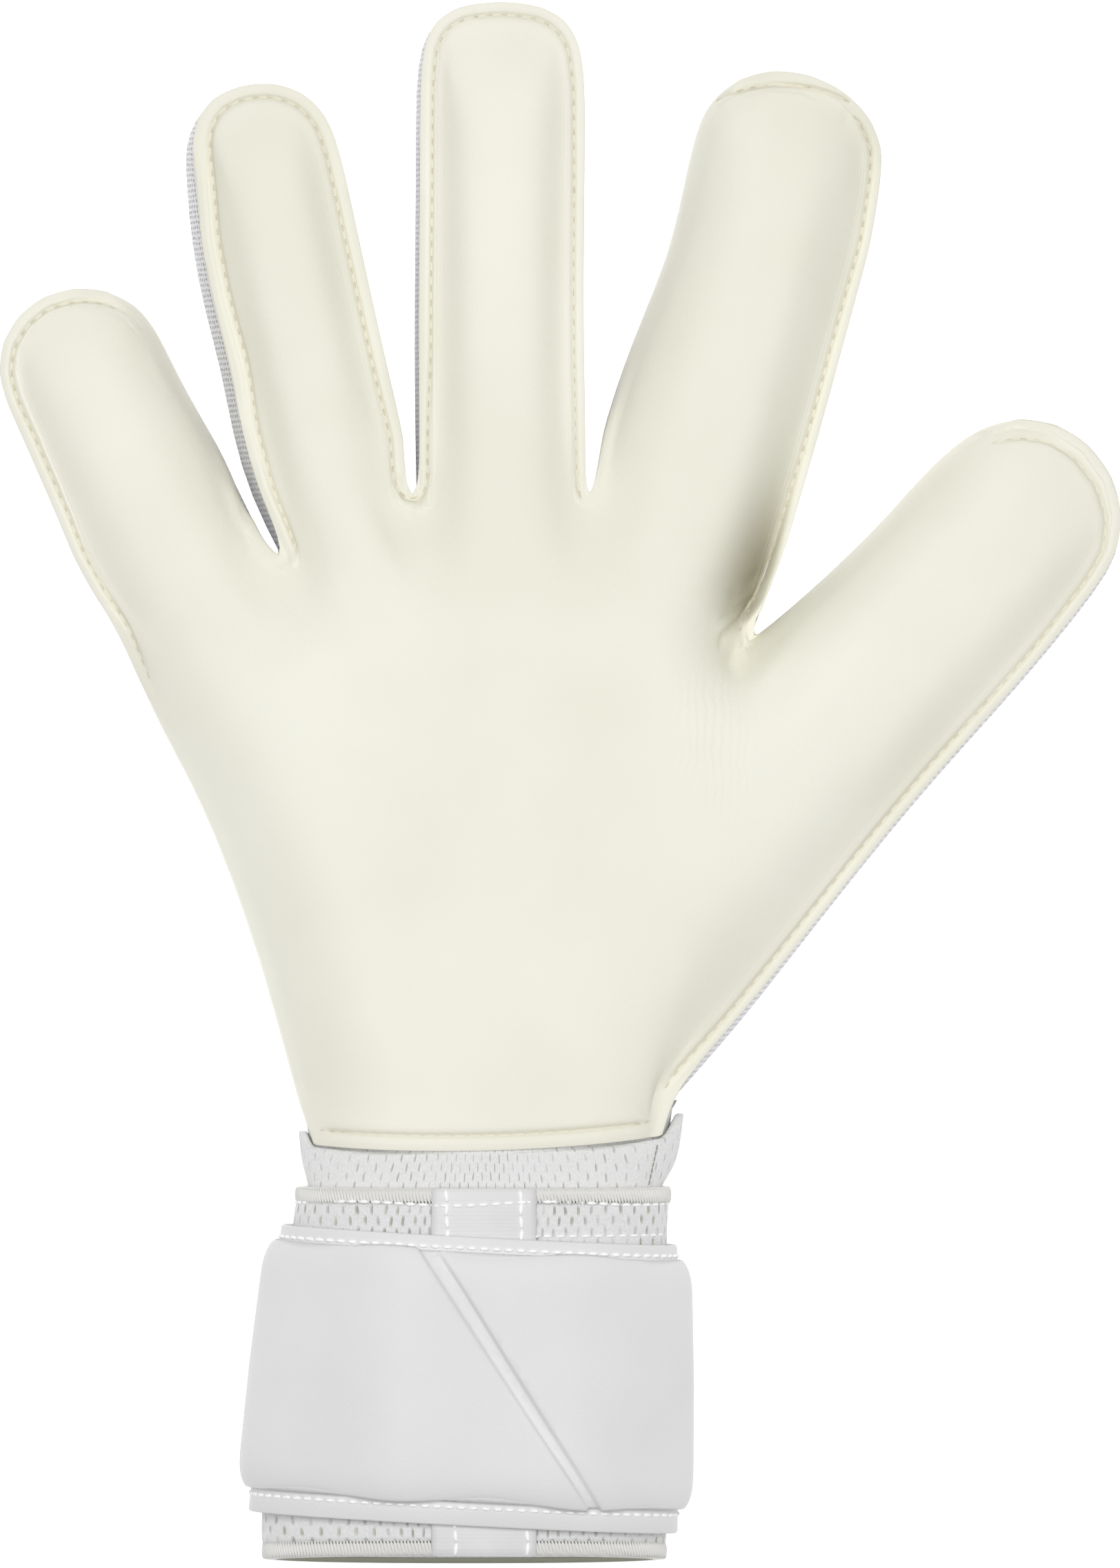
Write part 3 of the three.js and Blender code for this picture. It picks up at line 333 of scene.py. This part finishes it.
# Painted shade in the hollow: how much the skin's colour darkens there, none at the very edge.
folded = hollow * np.clip((from_rim - 0.8) / 1.5, 0, 1)
for vert, moves, amount, fall in zip(verts, outer, lift, sink):
    if moves:
        vert.co += vert.normal * (amount * MM)
    vert.co.z -= fall * MM
# The skin's painted-shade map: the fold's shade first, the seams' shade second.
painted_shade_uv = palm.loops.layers.uv.new("fold_and_seam_shade")
palm.verts.index_update()
for face in palm.faces:
    for loop in face.loops:
        loop[painted_shade_uv].uv = (folded[loop.vert.index], seam_shade_paint[loop.vert.index])
palm.normal_update()
palm_surface = BVHTree.FromBMesh(palm)
palm_piece = make_piece("palm_latex", palm, latex_skin, "latex", "palm_foam")


# ---------------------------------------------------------------------------------------------
# The palm's stitches: cream polyester lockstitch, 2.65 mm long, pulled down into the foam. Only the
# top thread shows, as a row of short dashes; their colour is darkened below the thread's cream as painted shade for the
# groove they lie in.
# ---------------------------------------------------------------------------------------------
def onto(surface, start, direction):
    """Where a straight line from a start first meets a surface, with the surface's facing there."""
    point, normal, _, _ = surface.ray_cast(Vector(start), Vector(direction))
    return None if point is None else (point, normal)


bead = bmesh.new()
bmesh.ops.create_uvsphere(bead, u_segments=6, v_segments=5, radius=1)
thread_bead = bpy.data.meshes.new("thread_bead")
bead.to_mesh(thread_bead)
bead.free()


def lay_bead(bm, centre, along, up, size):
    """Lays one bead of thread on a surface, with its length, width and height in millimetres."""
    across = up.cross(along).normalized()
    turn = Matrix((along, across, along.cross(across))).transposed().to_4x4()
    stamp = thread_bead.copy()
    stamp.transform(Matrix.Translation(centre) @ turn @ Matrix.Diagonal((*[s / 2 * MM for s in size], 1)))
    bm.from_mesh(stamp)
    bpy.data.meshes.remove(stamp)


def sew(bm, run, pitch, length, width):
    """Lays thread stitches at an even pitch along a run of surface points with their facings."""
    points = np.array([p for p, _ in run])
    facings = np.array([n for _, n in run])
    both = resampled(np.concatenate([points, facings], axis=1), pitch * MM)
    for i in range(len(both) - 1):
        here, there = Vector(both[i, :3]), Vector(both[i + 1, :3])
        up = Vector(both[i, 3:] + both[i + 1, 3:]).normalized()
        lay_bead(bm, (here + there) / 2, (there - here).normalized(), up, (length, width, width))


def thread(name, colour):
    """Spun polyester sewing thread: dull, with a soft sheen and the twist just showing."""
    material, tree, shader = new_finish(name, 0.55, sheen=0.3)
    place = add_node(tree, "ShaderNodeTexCoord").outputs["Object"]
    mottled(tree, shader, place, colour, colour, 3)
    twist = add_node(tree, "ShaderNodeTexWave", {"bands_direction": "DIAGONAL"}, Vector=place, Scale=1 / (2.5 * MM))
    bumped(tree, shader, twist.outputs["Fac"], 0.03)
    return material


# The thread is cream; its darker colour here is painted shade for the groove.
palm_thread_painted_shade = thread("cream_thread_painted_shade", "cfcab2")
palm_stitches = bmesh.new()
for line in seam_lines:
    run = [onto(palm_surface, (x * MM, y * MM, 0.1), (0, 0, -1)) for x, y in line]
    sew(palm_stitches, [hit for hit in run if hit], pitch=STITCH_PITCH, length=1.5, width=0.26)
make_piece("palm_stitches", palm_stitches, palm_thread_painted_shade, "latex")

# ---------------------------------------------------------------------------------------------
# The back of the hand: a plain off-white sheet of foam faced with fabric, turned up at its edge to
# meet the side walls. The photograph doesn't show it, so it is finished plainly.
# ---------------------------------------------------------------------------------------------
# Warp-knitted nylon face on foam: a soft, even, nearly white cloth with a fine grain.
back_cloth, tree, shader = new_finish("knitted_nylon_on_foam", 0.75, sheen=0.2)
place = add_node(tree, "ShaderNodeTexCoord").outputs["Object"]
mottled(tree, shader, place, "ececea", "e4e4e2", 30)
grain = add_node(tree, "ShaderNodeTexVoronoi", Vector=place, Scale=1 / (0.9 * MM))
bumped(tree, shader, grain.outputs["Distance"], 0.12)
back = rounded(copy_of("back_foam"), 2)
back_piece = make_piece("back_cloth", back, back_cloth, "back_foam", "back_foam")

# ---------------------------------------------------------------------------------------------
# The side walls: six strips of white mesh sewn between palm and back, round each finger and down
# the hand's two sides. They show beside the ring finger and outside the thumb's lip.
# ---------------------------------------------------------------------------------------------
# Polyester air mesh: bluish white, with round holes about 1 mm apart, coloured grey as painted shade for the dark seen
# through them.
air_mesh, tree, shader = new_finish("polyester_air_mesh", 0.85, sheen=0.2)
place = add_node(tree, "ShaderNodeUVMap", {"uv_map": "side"}).outputs[0]
holes = add_node(tree, "ShaderNodeTexVoronoi", {"voronoi_dimensions": "2D"}, Vector=place, Scale=1 / (0.95 * MM), Randomness=0.2)
inside = add_node(tree, "ShaderNodeMapRange", Value=holes.outputs["Distance"], From_Min=0.12, From_Max=0.32)
# The holes' grey is painted shade, not the yarn's colour.
tone = add_node(tree, "ShaderNodeMix", {"data_type": "RGBA"}, _0=inside.outputs[0], _6=linear("c2c1bc"), _7=linear("ededf2"))
tree.links.new(tone.outputs[2], shader.inputs["Base Color"])
bumped(tree, shader, inside.outputs[0], 0.25)
for wall in ("little_outer", "little_ring", "ring_middle", "middle_index", "index_thumb", "thumb_outer"):
    strip = copy_of("wall_" + wall)
    crease(strip, cut_edges(strip), 1.0)
    strip = rounded(strip, 1)
    side = strip.loops.layers.uv.new("side")
    for face in strip.faces:
        along = 1 if abs(face.normal.x) > abs(face.normal.y) else 0
        for loop in face.loops:
            loop[side].uv = (loop.vert.co[along], loop.vert.co.z)
    make_piece("mesh_wall_" + wall, strip, air_mesh, "side_mesh", "wall_" + wall)


# ---------------------------------------------------------------------------------------------
# The wrist sleeve: fine white knit with small staggered slits. It comes out from under the palm's
# hem, narrows into the bandage, and lines it down to the glove's mouth.
# ---------------------------------------------------------------------------------------------
def wrap_map(bm, axis):
    """Maps a tube's surface in metres: round it from its front middle, and along it."""
    layer = bm.loops.layers.uv.new("wrap")
    for face in bm.faces:
        turns = []
        for loop in face.loops:
            x, z = loop.vert.co.x - axis[0], loop.vert.co.z - axis[1]
            turns.append(math.atan2(x, z))
        if max(turns) - min(turns) > math.pi:
            turns = [t + 2 * math.pi if t < 0 else t for t in turns]
        for loop, turn in zip(face.loops, turns):
            loop[layer].uv = (turn * axis[2], loop.vert.co.y)


def slits(tree, across_mm, along_mm, width_mm, length_mm, soft=0.35):
    """A mask of staggered upright slits on the wrap map, a little uneven: up to 1 in a slit, 0 on the yarn."""
    spot = add_node(tree, "ShaderNodeUVMap", {"uv_map": "wrap"}).outputs[0]
    drift = add_node(tree, "ShaderNodeTexNoise", Vector=spot, Scale=1 / (4 * MM), Detail=1.0).outputs["Color"]
    spot = add_node(tree, "ShaderNodeVectorMath", {"operation": "MULTIPLY_ADD"}, _0=drift, _1=(1.0 * MM,) * 3, _2=spot).outputs[0]
    apart = add_node(tree, "ShaderNodeSeparateXYZ", Vector=spot)

    def calc(operation, *values):
        inputs = {f"_{i}": value for i, value in enumerate(values)}
        return add_node(tree, "ShaderNodeMath", {"operation": operation}, **inputs).outputs[0]

    column = calc("DIVIDE", apart.outputs[0], across_mm * MM)
    odd = calc("PINGPONG", calc("FLOOR", column), 1.0)
    row = calc("ADD", calc("DIVIDE", apart.outputs[1], along_mm * MM), calc("MULTIPLY", odd, 0.5))
    off_across = calc("ABSOLUTE", calc("SUBTRACT", calc("FRACT", column), 0.5))
    off_along = calc("ABSOLUTE", calc("SUBTRACT", calc("FRACT", row), 0.5))
    half_width, half_length = width_mm / across_mm / 2, length_mm / along_mm / 2
    thin = add_node(tree, "ShaderNodeMapRange", Value=off_across, From_Min=half_width * (1 - soft),
                    From_Max=half_width * (1 + soft), To_Min=1.0, To_Max=0.0).outputs[0]
    short = add_node(tree, "ShaderNodeMapRange", Value=off_along, From_Min=half_length * (1 - soft),
                     From_Max=half_length * (1 + soft), To_Min=1.0, To_Max=0.0).outputs[0]
    patchy = add_node(tree, "ShaderNodeTexNoise", Vector=spot, Scale=1 / (7 * MM), Detail=2.0).outputs[0]
    depth = add_node(tree, "ShaderNodeMapRange", Value=patchy, From_Min=0.35, From_Max=0.6, To_Min=0.3).outputs[0]
    return calc("MULTIPLY", calc("MULTIPLY", thin, short), depth)


# Polyester jersey: matt neutral white, a fuzz of fine loops, with thin slits in the knit; their grey-green is painted
# shade for the inside seen through them.
jersey, tree, shader = new_finish("polyester_jersey", 0.9, sheen=0.3)
place = add_node(tree, "ShaderNodeTexCoord").outputs["Object"]
gaps = slits(tree, 1.65, 3.4, 0.22, 1.3, soft=0.5)
fuzz = add_node(tree, "ShaderNodeTexNoise", Vector=place, Scale=1 / (0.45 * MM), Detail=4.0, Roughness=0.7).outputs[0]
yarn = add_node(tree, "ShaderNodeMix", {"data_type": "RGBA"}, _0=fuzz, _6=linear("dcdcdc"), _7=linear("fdfdfd")).outputs[2]
# The slits' grey-green is painted shade.
tone = add_node(tree, "ShaderNodeMix", {"data_type": "RGBA"}, _0=gaps, _6=yarn, _7=linear("d6d5cd"))
tree.links.new(tone.outputs[2], shader.inputs["Base Color"])
relief = add_node(tree, "ShaderNodeMath", {"operation": "SUBTRACT"}, _0=fuzz, _1=gaps)
bumped(tree, shader, relief.outputs[0], 0.25)
CUFF_AXIS = (-3.2 * MM, 23 * MM, 30 * MM)
sleeve = copy_of("wrist_sleeve")
crease(sleeve, cut_edges(sleeve), 0.8)
sleeve = rounded(sleeve, 2)
# The sleeve runs on under the palm's hem, and further up at both sides, where it is sewn to the walls.
TUCK = {"rise": 4.5, "side_rise": 7.0, "inset": 0.35, "side_inset": 1.8, "from_y": -57.0}
tuck = sleeve.copy()
tuck.normal_update()
axis = Vector((CUFF_AXIS[0], 0, CUFF_AXIS[1]))
inner = []
for face in tuck.faces:
    out = face.calc_center_median() - axis
    if face.normal.x * out.x + face.normal.z * out.z < 0 or abs(face.normal.y) > 0.8:
        inner.append(face)
bmesh.ops.delete(tuck, geom=inner, context="FACES")
bmesh.ops.bisect_plane(
    tuck, geom=tuck.verts[:] + tuck.edges[:] + tuck.faces[:],
    plane_co=(0, TUCK["from_y"] * MM, 0), plane_no=(0, 1, 0), clear_inner=True,
)
tuck.normal_update()
for vert in tuck.verts:
    sideways = abs(vert.normal.x)
    low = max(0, min(1, (21 - vert.co.z / MM) / 4))
    rise = TUCK["rise"] + TUCK["side_rise"] * min(1, 2 * sideways) * low
    inset = TUCK["inset"] + (TUCK["side_inset"] - TUCK["inset"]) * min(1, 1.6 * sideways) * (1 - low)
    stretch = min(1, (vert.co.y / MM - TUCK["from_y"]) / 4)
    vert.co += Vector((0, rise * stretch * MM, 0)) - vert.normal * (inset * MM)
bmesh.ops.solidify(tuck, geom=tuck.faces[:], thickness=0.6 * MM)
tuck_mesh = bpy.data.meshes.new("tuck")
tuck.to_mesh(tuck_mesh)
tuck.free()
sleeve.from_mesh(tuck_mesh)
wrap_map(sleeve, CUFF_AXIS)
sleeve_surface = BVHTree.FromBMesh(sleeve)
make_piece("knit_sleeve", sleeve, jersey, "knit", "wrist_sleeve")
# The knit's two edges meet in a closed seam at the thumb side, from the hem to the bandage. Its dark line is painted
# shade, laid as a row of grey thread beads.
SIDE_SEAM = ((28.6, -50.9), (27.0, -58.2))
side_seam = bmesh.new()
run = [onto(sleeve_surface, (x * MM, y * MM, 0.1), (0, 0, -1)) for x, y in np.linspace(*SIDE_SEAM, 12)]
sew(side_seam, [hit for hit in run if hit], pitch=1.1, length=1.2, width=0.35)
make_piece("sleeve_side_seam", side_seam, thread("seam_crease_painted_shade", "96958c"), "knit")

# ---------------------------------------------------------------------------------------------
# The bandage: an elastic spacer mesh round the wrist, stretched so that its staggered slits open.
# Both edges are overlocked, and a white topstitch runs just inside the upper one.
# ---------------------------------------------------------------------------------------------
# Elastic polyester spacer mesh: puffy pale yarn between slits, 2.5 mm apart; the slits' olive-grey is painted shade for
# the depth seen through them.
spacer_mesh, tree, shader = new_finish("elastic_spacer_mesh", 0.9, sheen=0.3)
place = add_node(tree, "ShaderNodeTexCoord").outputs["Object"]
gaps = slits(tree, 1.28, 4.0, 0.4, 1.4, soft=0.5)
fuzz = add_node(tree, "ShaderNodeTexNoise", Vector=place, Scale=1 / (0.5 * MM), Detail=4.0, Roughness=0.7).outputs[0]
yarn = add_node(tree, "ShaderNodeMix", {"data_type": "RGBA"}, _0=fuzz, _6=linear("d5d5d5"), _7=linear("fafafc")).outputs[2]
# The slits' olive-grey is painted shade.
tone = add_node(tree, "ShaderNodeMix", {"data_type": "RGBA"}, _0=gaps, _6=yarn, _7=linear("bcbaa9"))
tree.links.new(tone.outputs[2], shader.inputs["Base Color"])
relief = add_node(tree, "ShaderNodeMath", {"operation": "MULTIPLY_ADD"}, _0=gaps, _1=-1.5, _2=fuzz)
bumped(tree, shader, relief.outputs[0], 0.2)
bandage = copy_of("bandage")
crease(bandage, cut_edges(bandage), 0.9)
bandage = rounded(bandage, 2)
wrap_map(bandage, CUFF_AXIS)
edged_bandage = bandage.copy()
make_piece("bandage_mesh", bandage, spacer_mesh, "bandage_mesh", "bandage")


def ring_run(surface, height_at, turns):
    """Points round the cuff where lines from outside meet its surface, from a list of angles. The
    height may change with x and with the angle."""
    run = []
    x = CUFF_AXIS[0]
    for turn in turns:
        out = Vector((math.cos(turn), 0, math.sin(turn)))
        for _ in range(2):
            start = Vector((CUFF_AXIS[0], height_at(x, turn), CUFF_AXIS[1])) + 0.1 * out
            hit = onto(surface, start, -out)
            if hit:
                x = hit[0].x
        if hit:
            run.append(hit)
    return run


whole_turn = np.radians(np.linspace(0, 360, 181))
white_thread = thread("white_polyester_thread", "ffffff")
overlock_thread = thread("overlocked_edge_thread", "e4e3e0")
bindings = bmesh.new()
for edge in ("bandage_top_binding", "bandage_mouth_binding"):
    binding = copy_of(edge)
    crease(binding, cut_edges(binding), 0.5)
    binding = rounded(binding, 1)
    surface = BVHTree.FromBMesh(binding)
    spots = np.array([v.co for v in binding.verts])
    around = np.arctan2(spots[:, 2] - CUFF_AXIS[1], spots[:, 0] - CUFF_AXIS[0])
    sides = [spots[np.cos(around - turn) > 0.99, 1] for turn in whole_turn]
    middles = [(side.min() + side.max()) / 2 for side in sides]
    # The wraps reach over the gap between the binding and the bandage.
    shift = (0.4 if edge == "bandage_mouth_binding" else -0.4) * MM
    run = ring_run(surface, lambda x, turn: np.interp(turn, whole_turn, middles) + shift, whole_turn)
    points = resampled(np.array([[*p, *n] for p, n in run]), 0.62 * MM)
    for row in points:
        up, along = Vector(row[3:]).normalized(), Vector((0, 1, 0))
        along = (along + 0.25 * up.cross(along)).normalized()
        lay_bead(bindings, Vector(row[:3]), along, up, (3.3, 0.66, 0.8))
    if edge == "bandage_mouth_binding":
        mouth = binding.copy()
    cloth = make_piece(edge + "_cloth", binding, overlock_thread, "overlock", edge)
    edged_bandage.from_mesh(cloth.data)
edged_bandage.from_mesh(make_piece("overlock_wraps", bindings, overlock_thread, "overlock").data)
# The mouth's inner face, seen past its front edge: an olive-grey sheet laid just inside the bandage, painted shade for
# the dark inside the mouth.
mouth_shade_paint = new_finish("mouth_painted_shade", 0.95)[0]
mouth_shade_paint.node_tree.nodes["Principled BSDF"].inputs["Base Color"].default_value = linear("b2b2a2")
mouth.normal_update()
outward = []
for face in mouth.faces:
    out = face.calc_center_median() - axis
    if face.normal.x * out.x + face.normal.z * out.z > -0.3 * math.hypot(out.x, out.z) or out.z > 0:
        outward.append(face)
bmesh.ops.delete(mouth, geom=outward, context="FACES")
mouth.normal_update()
for vert in mouth.verts:
    vert.co += vert.normal * (0.25 * MM)
bmesh.ops.solidify(mouth, geom=mouth.faces[:], thickness=0.2 * MM)
make_piece("mouth_shade_sheet", mouth, mouth_shade_paint, "overlock")

# ---------------------------------------------------------------------------------------------
# The pull tape: a smooth woven tape down the front of the bandage, held by two rows of heavy white
# zigzag stitches that stand off its edges.
# ---------------------------------------------------------------------------------------------
# Woven nylon tape: flat, faintly silky, with a fine cross rib.
silky_tape, tree, shader = new_finish("woven_nylon_tape", 0.45, sheen=0.1)
place = add_node(tree, "ShaderNodeTexCoord").outputs["Object"]
mottled(tree, shader, place, "e0e0e0", "dadada", 12)
rib = add_node(tree, "ShaderNodeTexWave", {"bands_direction": "Y"}, Vector=place, Scale=1 / (2.2 * MM))
bumped(tree, shader, rib.outputs["Fac"], 0.01)
tape = copy_of("bandage_tape")
crease(tape, cut_edges(tape), 0.9)
tape = rounded(tape, 2)
tape_surface = BVHTree.FromBMesh(tape)
edged_bandage.from_mesh(make_piece("pull_tape", tape, silky_tape, "tape", "bandage_tape").data)
tape_low, tape_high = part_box("bandage_tape")
LOZENGE_PITCH = 2.35
ZIGZAG_ROWS = [{"top": -9.5, "foot": -7.7}, {"top": 3.9, "foot": 5.2}]
zigzag = bmesh.new()
for row in ZIGZAG_ROWS:
    heights = np.arange(tape_high.y / MM - 1.4, tape_low.y / MM + 1.0, -LOZENGE_PITCH)
    sides = np.interp(heights, [tape_low.y / MM, tape_high.y / MM], [row["foot"], row["top"]])
    for i, (x, y) in enumerate(zip(sides, heights)):
        hit = onto(tape_surface, (x * MM, y * MM, 0.1), (0, 0, -1))
        if hit:
            along = Vector((0.12 if i % 2 else -0.12, 1, 0)).normalized()
            lay_bead(zigzag, hit[0], along, hit[1], (2.6, 0.95, 0.7))
make_piece("tape_zigzag", zigzag, white_thread, "tape")

# ---------------------------------------------------------------------------------------------
# The bandage's topstitch: a white running stitch over the upper overlocked edge and the tape's end,
# a little uneven, and a second short row at the thumb side, just above the strap.
# ---------------------------------------------------------------------------------------------
bandage_face = BVHTree.FromBMesh(edged_bandage)
edged_bandage.free()
TOPSTITCH_Y = -61.3
TOPSTITCH_DRIFT = 0.35
SECOND_ROW_Y = -67.2
topstitch = bmesh.new()
run = ring_run(bandage_face, lambda x, _: (TOPSTITCH_Y + TOPSTITCH_DRIFT * math.sin(x / (5.5 * MM))) * MM, whole_turn)
sew(topstitch, run, pitch=2.3, length=2.15, width=0.75)
run = ring_run(bandage_face, lambda x, _: SECOND_ROW_Y * MM, np.radians(np.linspace(62, 8, 40)))
sew(topstitch, run, pitch=2.3, length=1.9, width=0.55)
make_piece("bandage_topstitch", topstitch, white_thread, "bandage_mesh")

# ---------------------------------------------------------------------------------------------
# The strap: white fabric folded at both edges, wound once round the wrist, with a thin foam pad
# sewn on its face. A shallow channel is pressed slantwise across the pad's front.
# ---------------------------------------------------------------------------------------------
# Coated polyester strap cloth: plain, smooth and a little shiny, with a hair-fine weave.
strap_cloth, tree, shader = new_finish("coated_polyester_cloth", 0.6)
place = add_node(tree, "ShaderNodeTexCoord").outputs["Object"]
mottled(tree, shader, place, "e6e6e6", "e2e2e2", 25)
weave = add_node(tree, "ShaderNodeTexNoise", Vector=place, Scale=1 / (0.6 * MM), Detail=3.0)
bumped(tree, shader, weave.outputs[0], 0.05)
strap = copy_of("strap")
crease(strap, cut_edges(strap), 0.7)
strap = rounded(strap, 2)
strap_faces = strap.copy()
make_piece("strap_cloth", strap, strap_cloth, "strap_fabric", "strap")

pad = copy_of("strap_pad")
pad_low, pad_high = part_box("strap_pad")
for share in (0.2, 0.35, 0.5, 0.65, 0.8):
    level = Vector((0, pad_low.y + (pad_high.y - pad_low.y) * share, 0))
    bmesh.ops.bisect_plane(pad, geom=pad.verts[:] + pad.edges[:] + pad.faces[:], plane_co=level, plane_no=(0.052, 1, 0))
pad = rounded(pad, 2)
# The channel's two walls are cut into the front of the pad, each as a pair of close lines.
CHANNEL_WALLS = [
    {"top": (-14.4, -69.4), "foot": (15.8, -115.6)},
    {"top": (-10.9, -69.4), "foot": (17.9, -115.6)},
]
CHANNEL_DEPTH = 1.0
WALL_SLOPE = 0.45


def right_of(points, wall):
    """How far points lie to the right of one of the channel's walls, in millimetres."""
    top, foot = np.array(wall["top"]), np.array(wall["foot"])
    along = (foot - top) / np.linalg.norm(foot - top)
    return (points - top) @ np.array([-along[1], along[0]])


for wall in CHANNEL_WALLS:
    top, foot = Vector((*wall["top"], 0)) * MM, Vector((*wall["foot"], 0)) * MM
    aside = Vector((-(foot - top).y, (foot - top).x, 0)).normalized()
    for offset in (-WALL_SLOPE, -WALL_SLOPE / 2, 0, WALL_SLOPE / 2, WALL_SLOPE):
        front = [face for face in pad.faces if face.normal.z > 0.2 and face.calc_center_median().z > 30 * MM]
        parts = {item for face in front for item in (face, *face.edges, *face.verts)}
        bmesh.ops.bisect_plane(pad, geom=list(parts), plane_co=top + aside * (offset * MM), plane_no=aside)
pad.normal_update()
verts = list(pad.verts)
spot = np.array([v.co for v in verts]) / MM
facing = np.array([v.normal for v in verts])
front = (facing[:, 2] > 0.2) & (spot[:, 2] > 30)
steps = [np.clip(right_of(spot[:, :2], wall) / (2 * WALL_SLOPE) + 0.5, 0, 1) for wall in CHANNEL_WALLS]
sunk = [step * step * (3 - 2 * step) for step in steps]
down = front * CHANNEL_DEPTH * np.clip(sunk[0] - sunk[1], 0, 1)
# The pad drapes in broad soft waves round the wrist, which the light picks out as bands.
wave = 0.9 * np.cos(2 * np.pi * (spot[:, 0] + 19) / 34) * (facing[:, 2] > 0.2) * np.clip((spot[:, 2] - 28) / 6, 0, 1)
for vert, amount in zip(verts, wave - down):
    vert.co += vert.normal * (float(amount) * MM)
pad.normal_update()
pad_piece = make_piece("strap_padding", pad, strap_cloth, "pad_skin", "strap_pad")
strap_faces.from_mesh(pad_piece.data)
strap_surface = BVHTree.FromBMesh(strap_faces)
strap_faces.free()
strap_stitches = bmesh.new()
for height, slope in ((-69.5, -0.05), (-116.2, -0.05)):
    run = ring_run(strap_surface, lambda x, _: height * MM + slope * x, np.radians(np.linspace(-50, 284, 220)))
    sew(strap_stitches, run, pitch=2.2, length=1.95, width=0.8)
make_piece("strap_stitches", strap_stitches, white_thread, "strap_fabric")

# ---------------------------------------------------------------------------------------------
# The studio: a white table, one wide soft light above, and the camera straight over the palm.
# ---------------------------------------------------------------------------------------------
# A sheet of opal acrylic lit from below, as under a product shot: white, and nearly without shadow.
white_table, tree, shader = new_finish("lit_opal_acrylic", 0.9)
shader.inputs["Base Color"].default_value = linear("ffffff")
shader.inputs["Emission Color"].default_value = linear("ffffff")
shader.inputs["Emission Strength"].default_value = 0.5
floor = bmesh.new()
bmesh.ops.create_grid(floor, x_segments=1, y_segments=1, size=3.0)
floor_mesh = bpy.data.meshes.new("table")
floor.to_mesh(floor_mesh)
floor.free()
floor_mesh.materials.append(white_table)
table = bpy.data.objects.new("table", floor_mesh)
table.location.z = -0.2 * MM
bpy.context.scene.collection.objects.link(table)

scene = bpy.context.scene
scene.view_settings.view_transform = "Standard"
scene.view_settings.look = "None"
scene.world = bpy.data.worlds.new("studio")
scene.world.use_nodes = True
sky = scene.world.node_tree.nodes["Background"]
sky.inputs["Color"].default_value = (1, 1, 1, 1)
sky.inputs["Strength"].default_value = 0.32
softbox = bpy.data.lights.new("softbox", "AREA")
softbox.shape = "RECTANGLE"
softbox.size = softbox.size_y = 0.9
softbox.energy = 12.6
lamp = bpy.data.objects.new("softbox", softbox)
lamp.location = (0.0, 0.2, 1.3)
lamp.rotation_euler = (Vector((0, 0, 0)) - lamp.location).to_track_quat("-Z", "Y").to_euler()
scene.collection.objects.link(lamp)

CAMERA_DISTANCE = 3.0
FRAME_MM = (203.0, 284.1)
lens = bpy.data.cameras.new("camera")
lens.sensor_fit = "VERTICAL"
lens.sensor_height = 36
lens.lens = 36 * CAMERA_DISTANCE / (FRAME_MM[1] * MM)
lens.clip_end = 20
camera = bpy.data.objects.new("camera", lens)
camera.location = (11.0 * MM, 14.2 * MM, CAMERA_DISTANCE + 18 * MM)
scene.collection.objects.link(camera)
scene.camera = camera
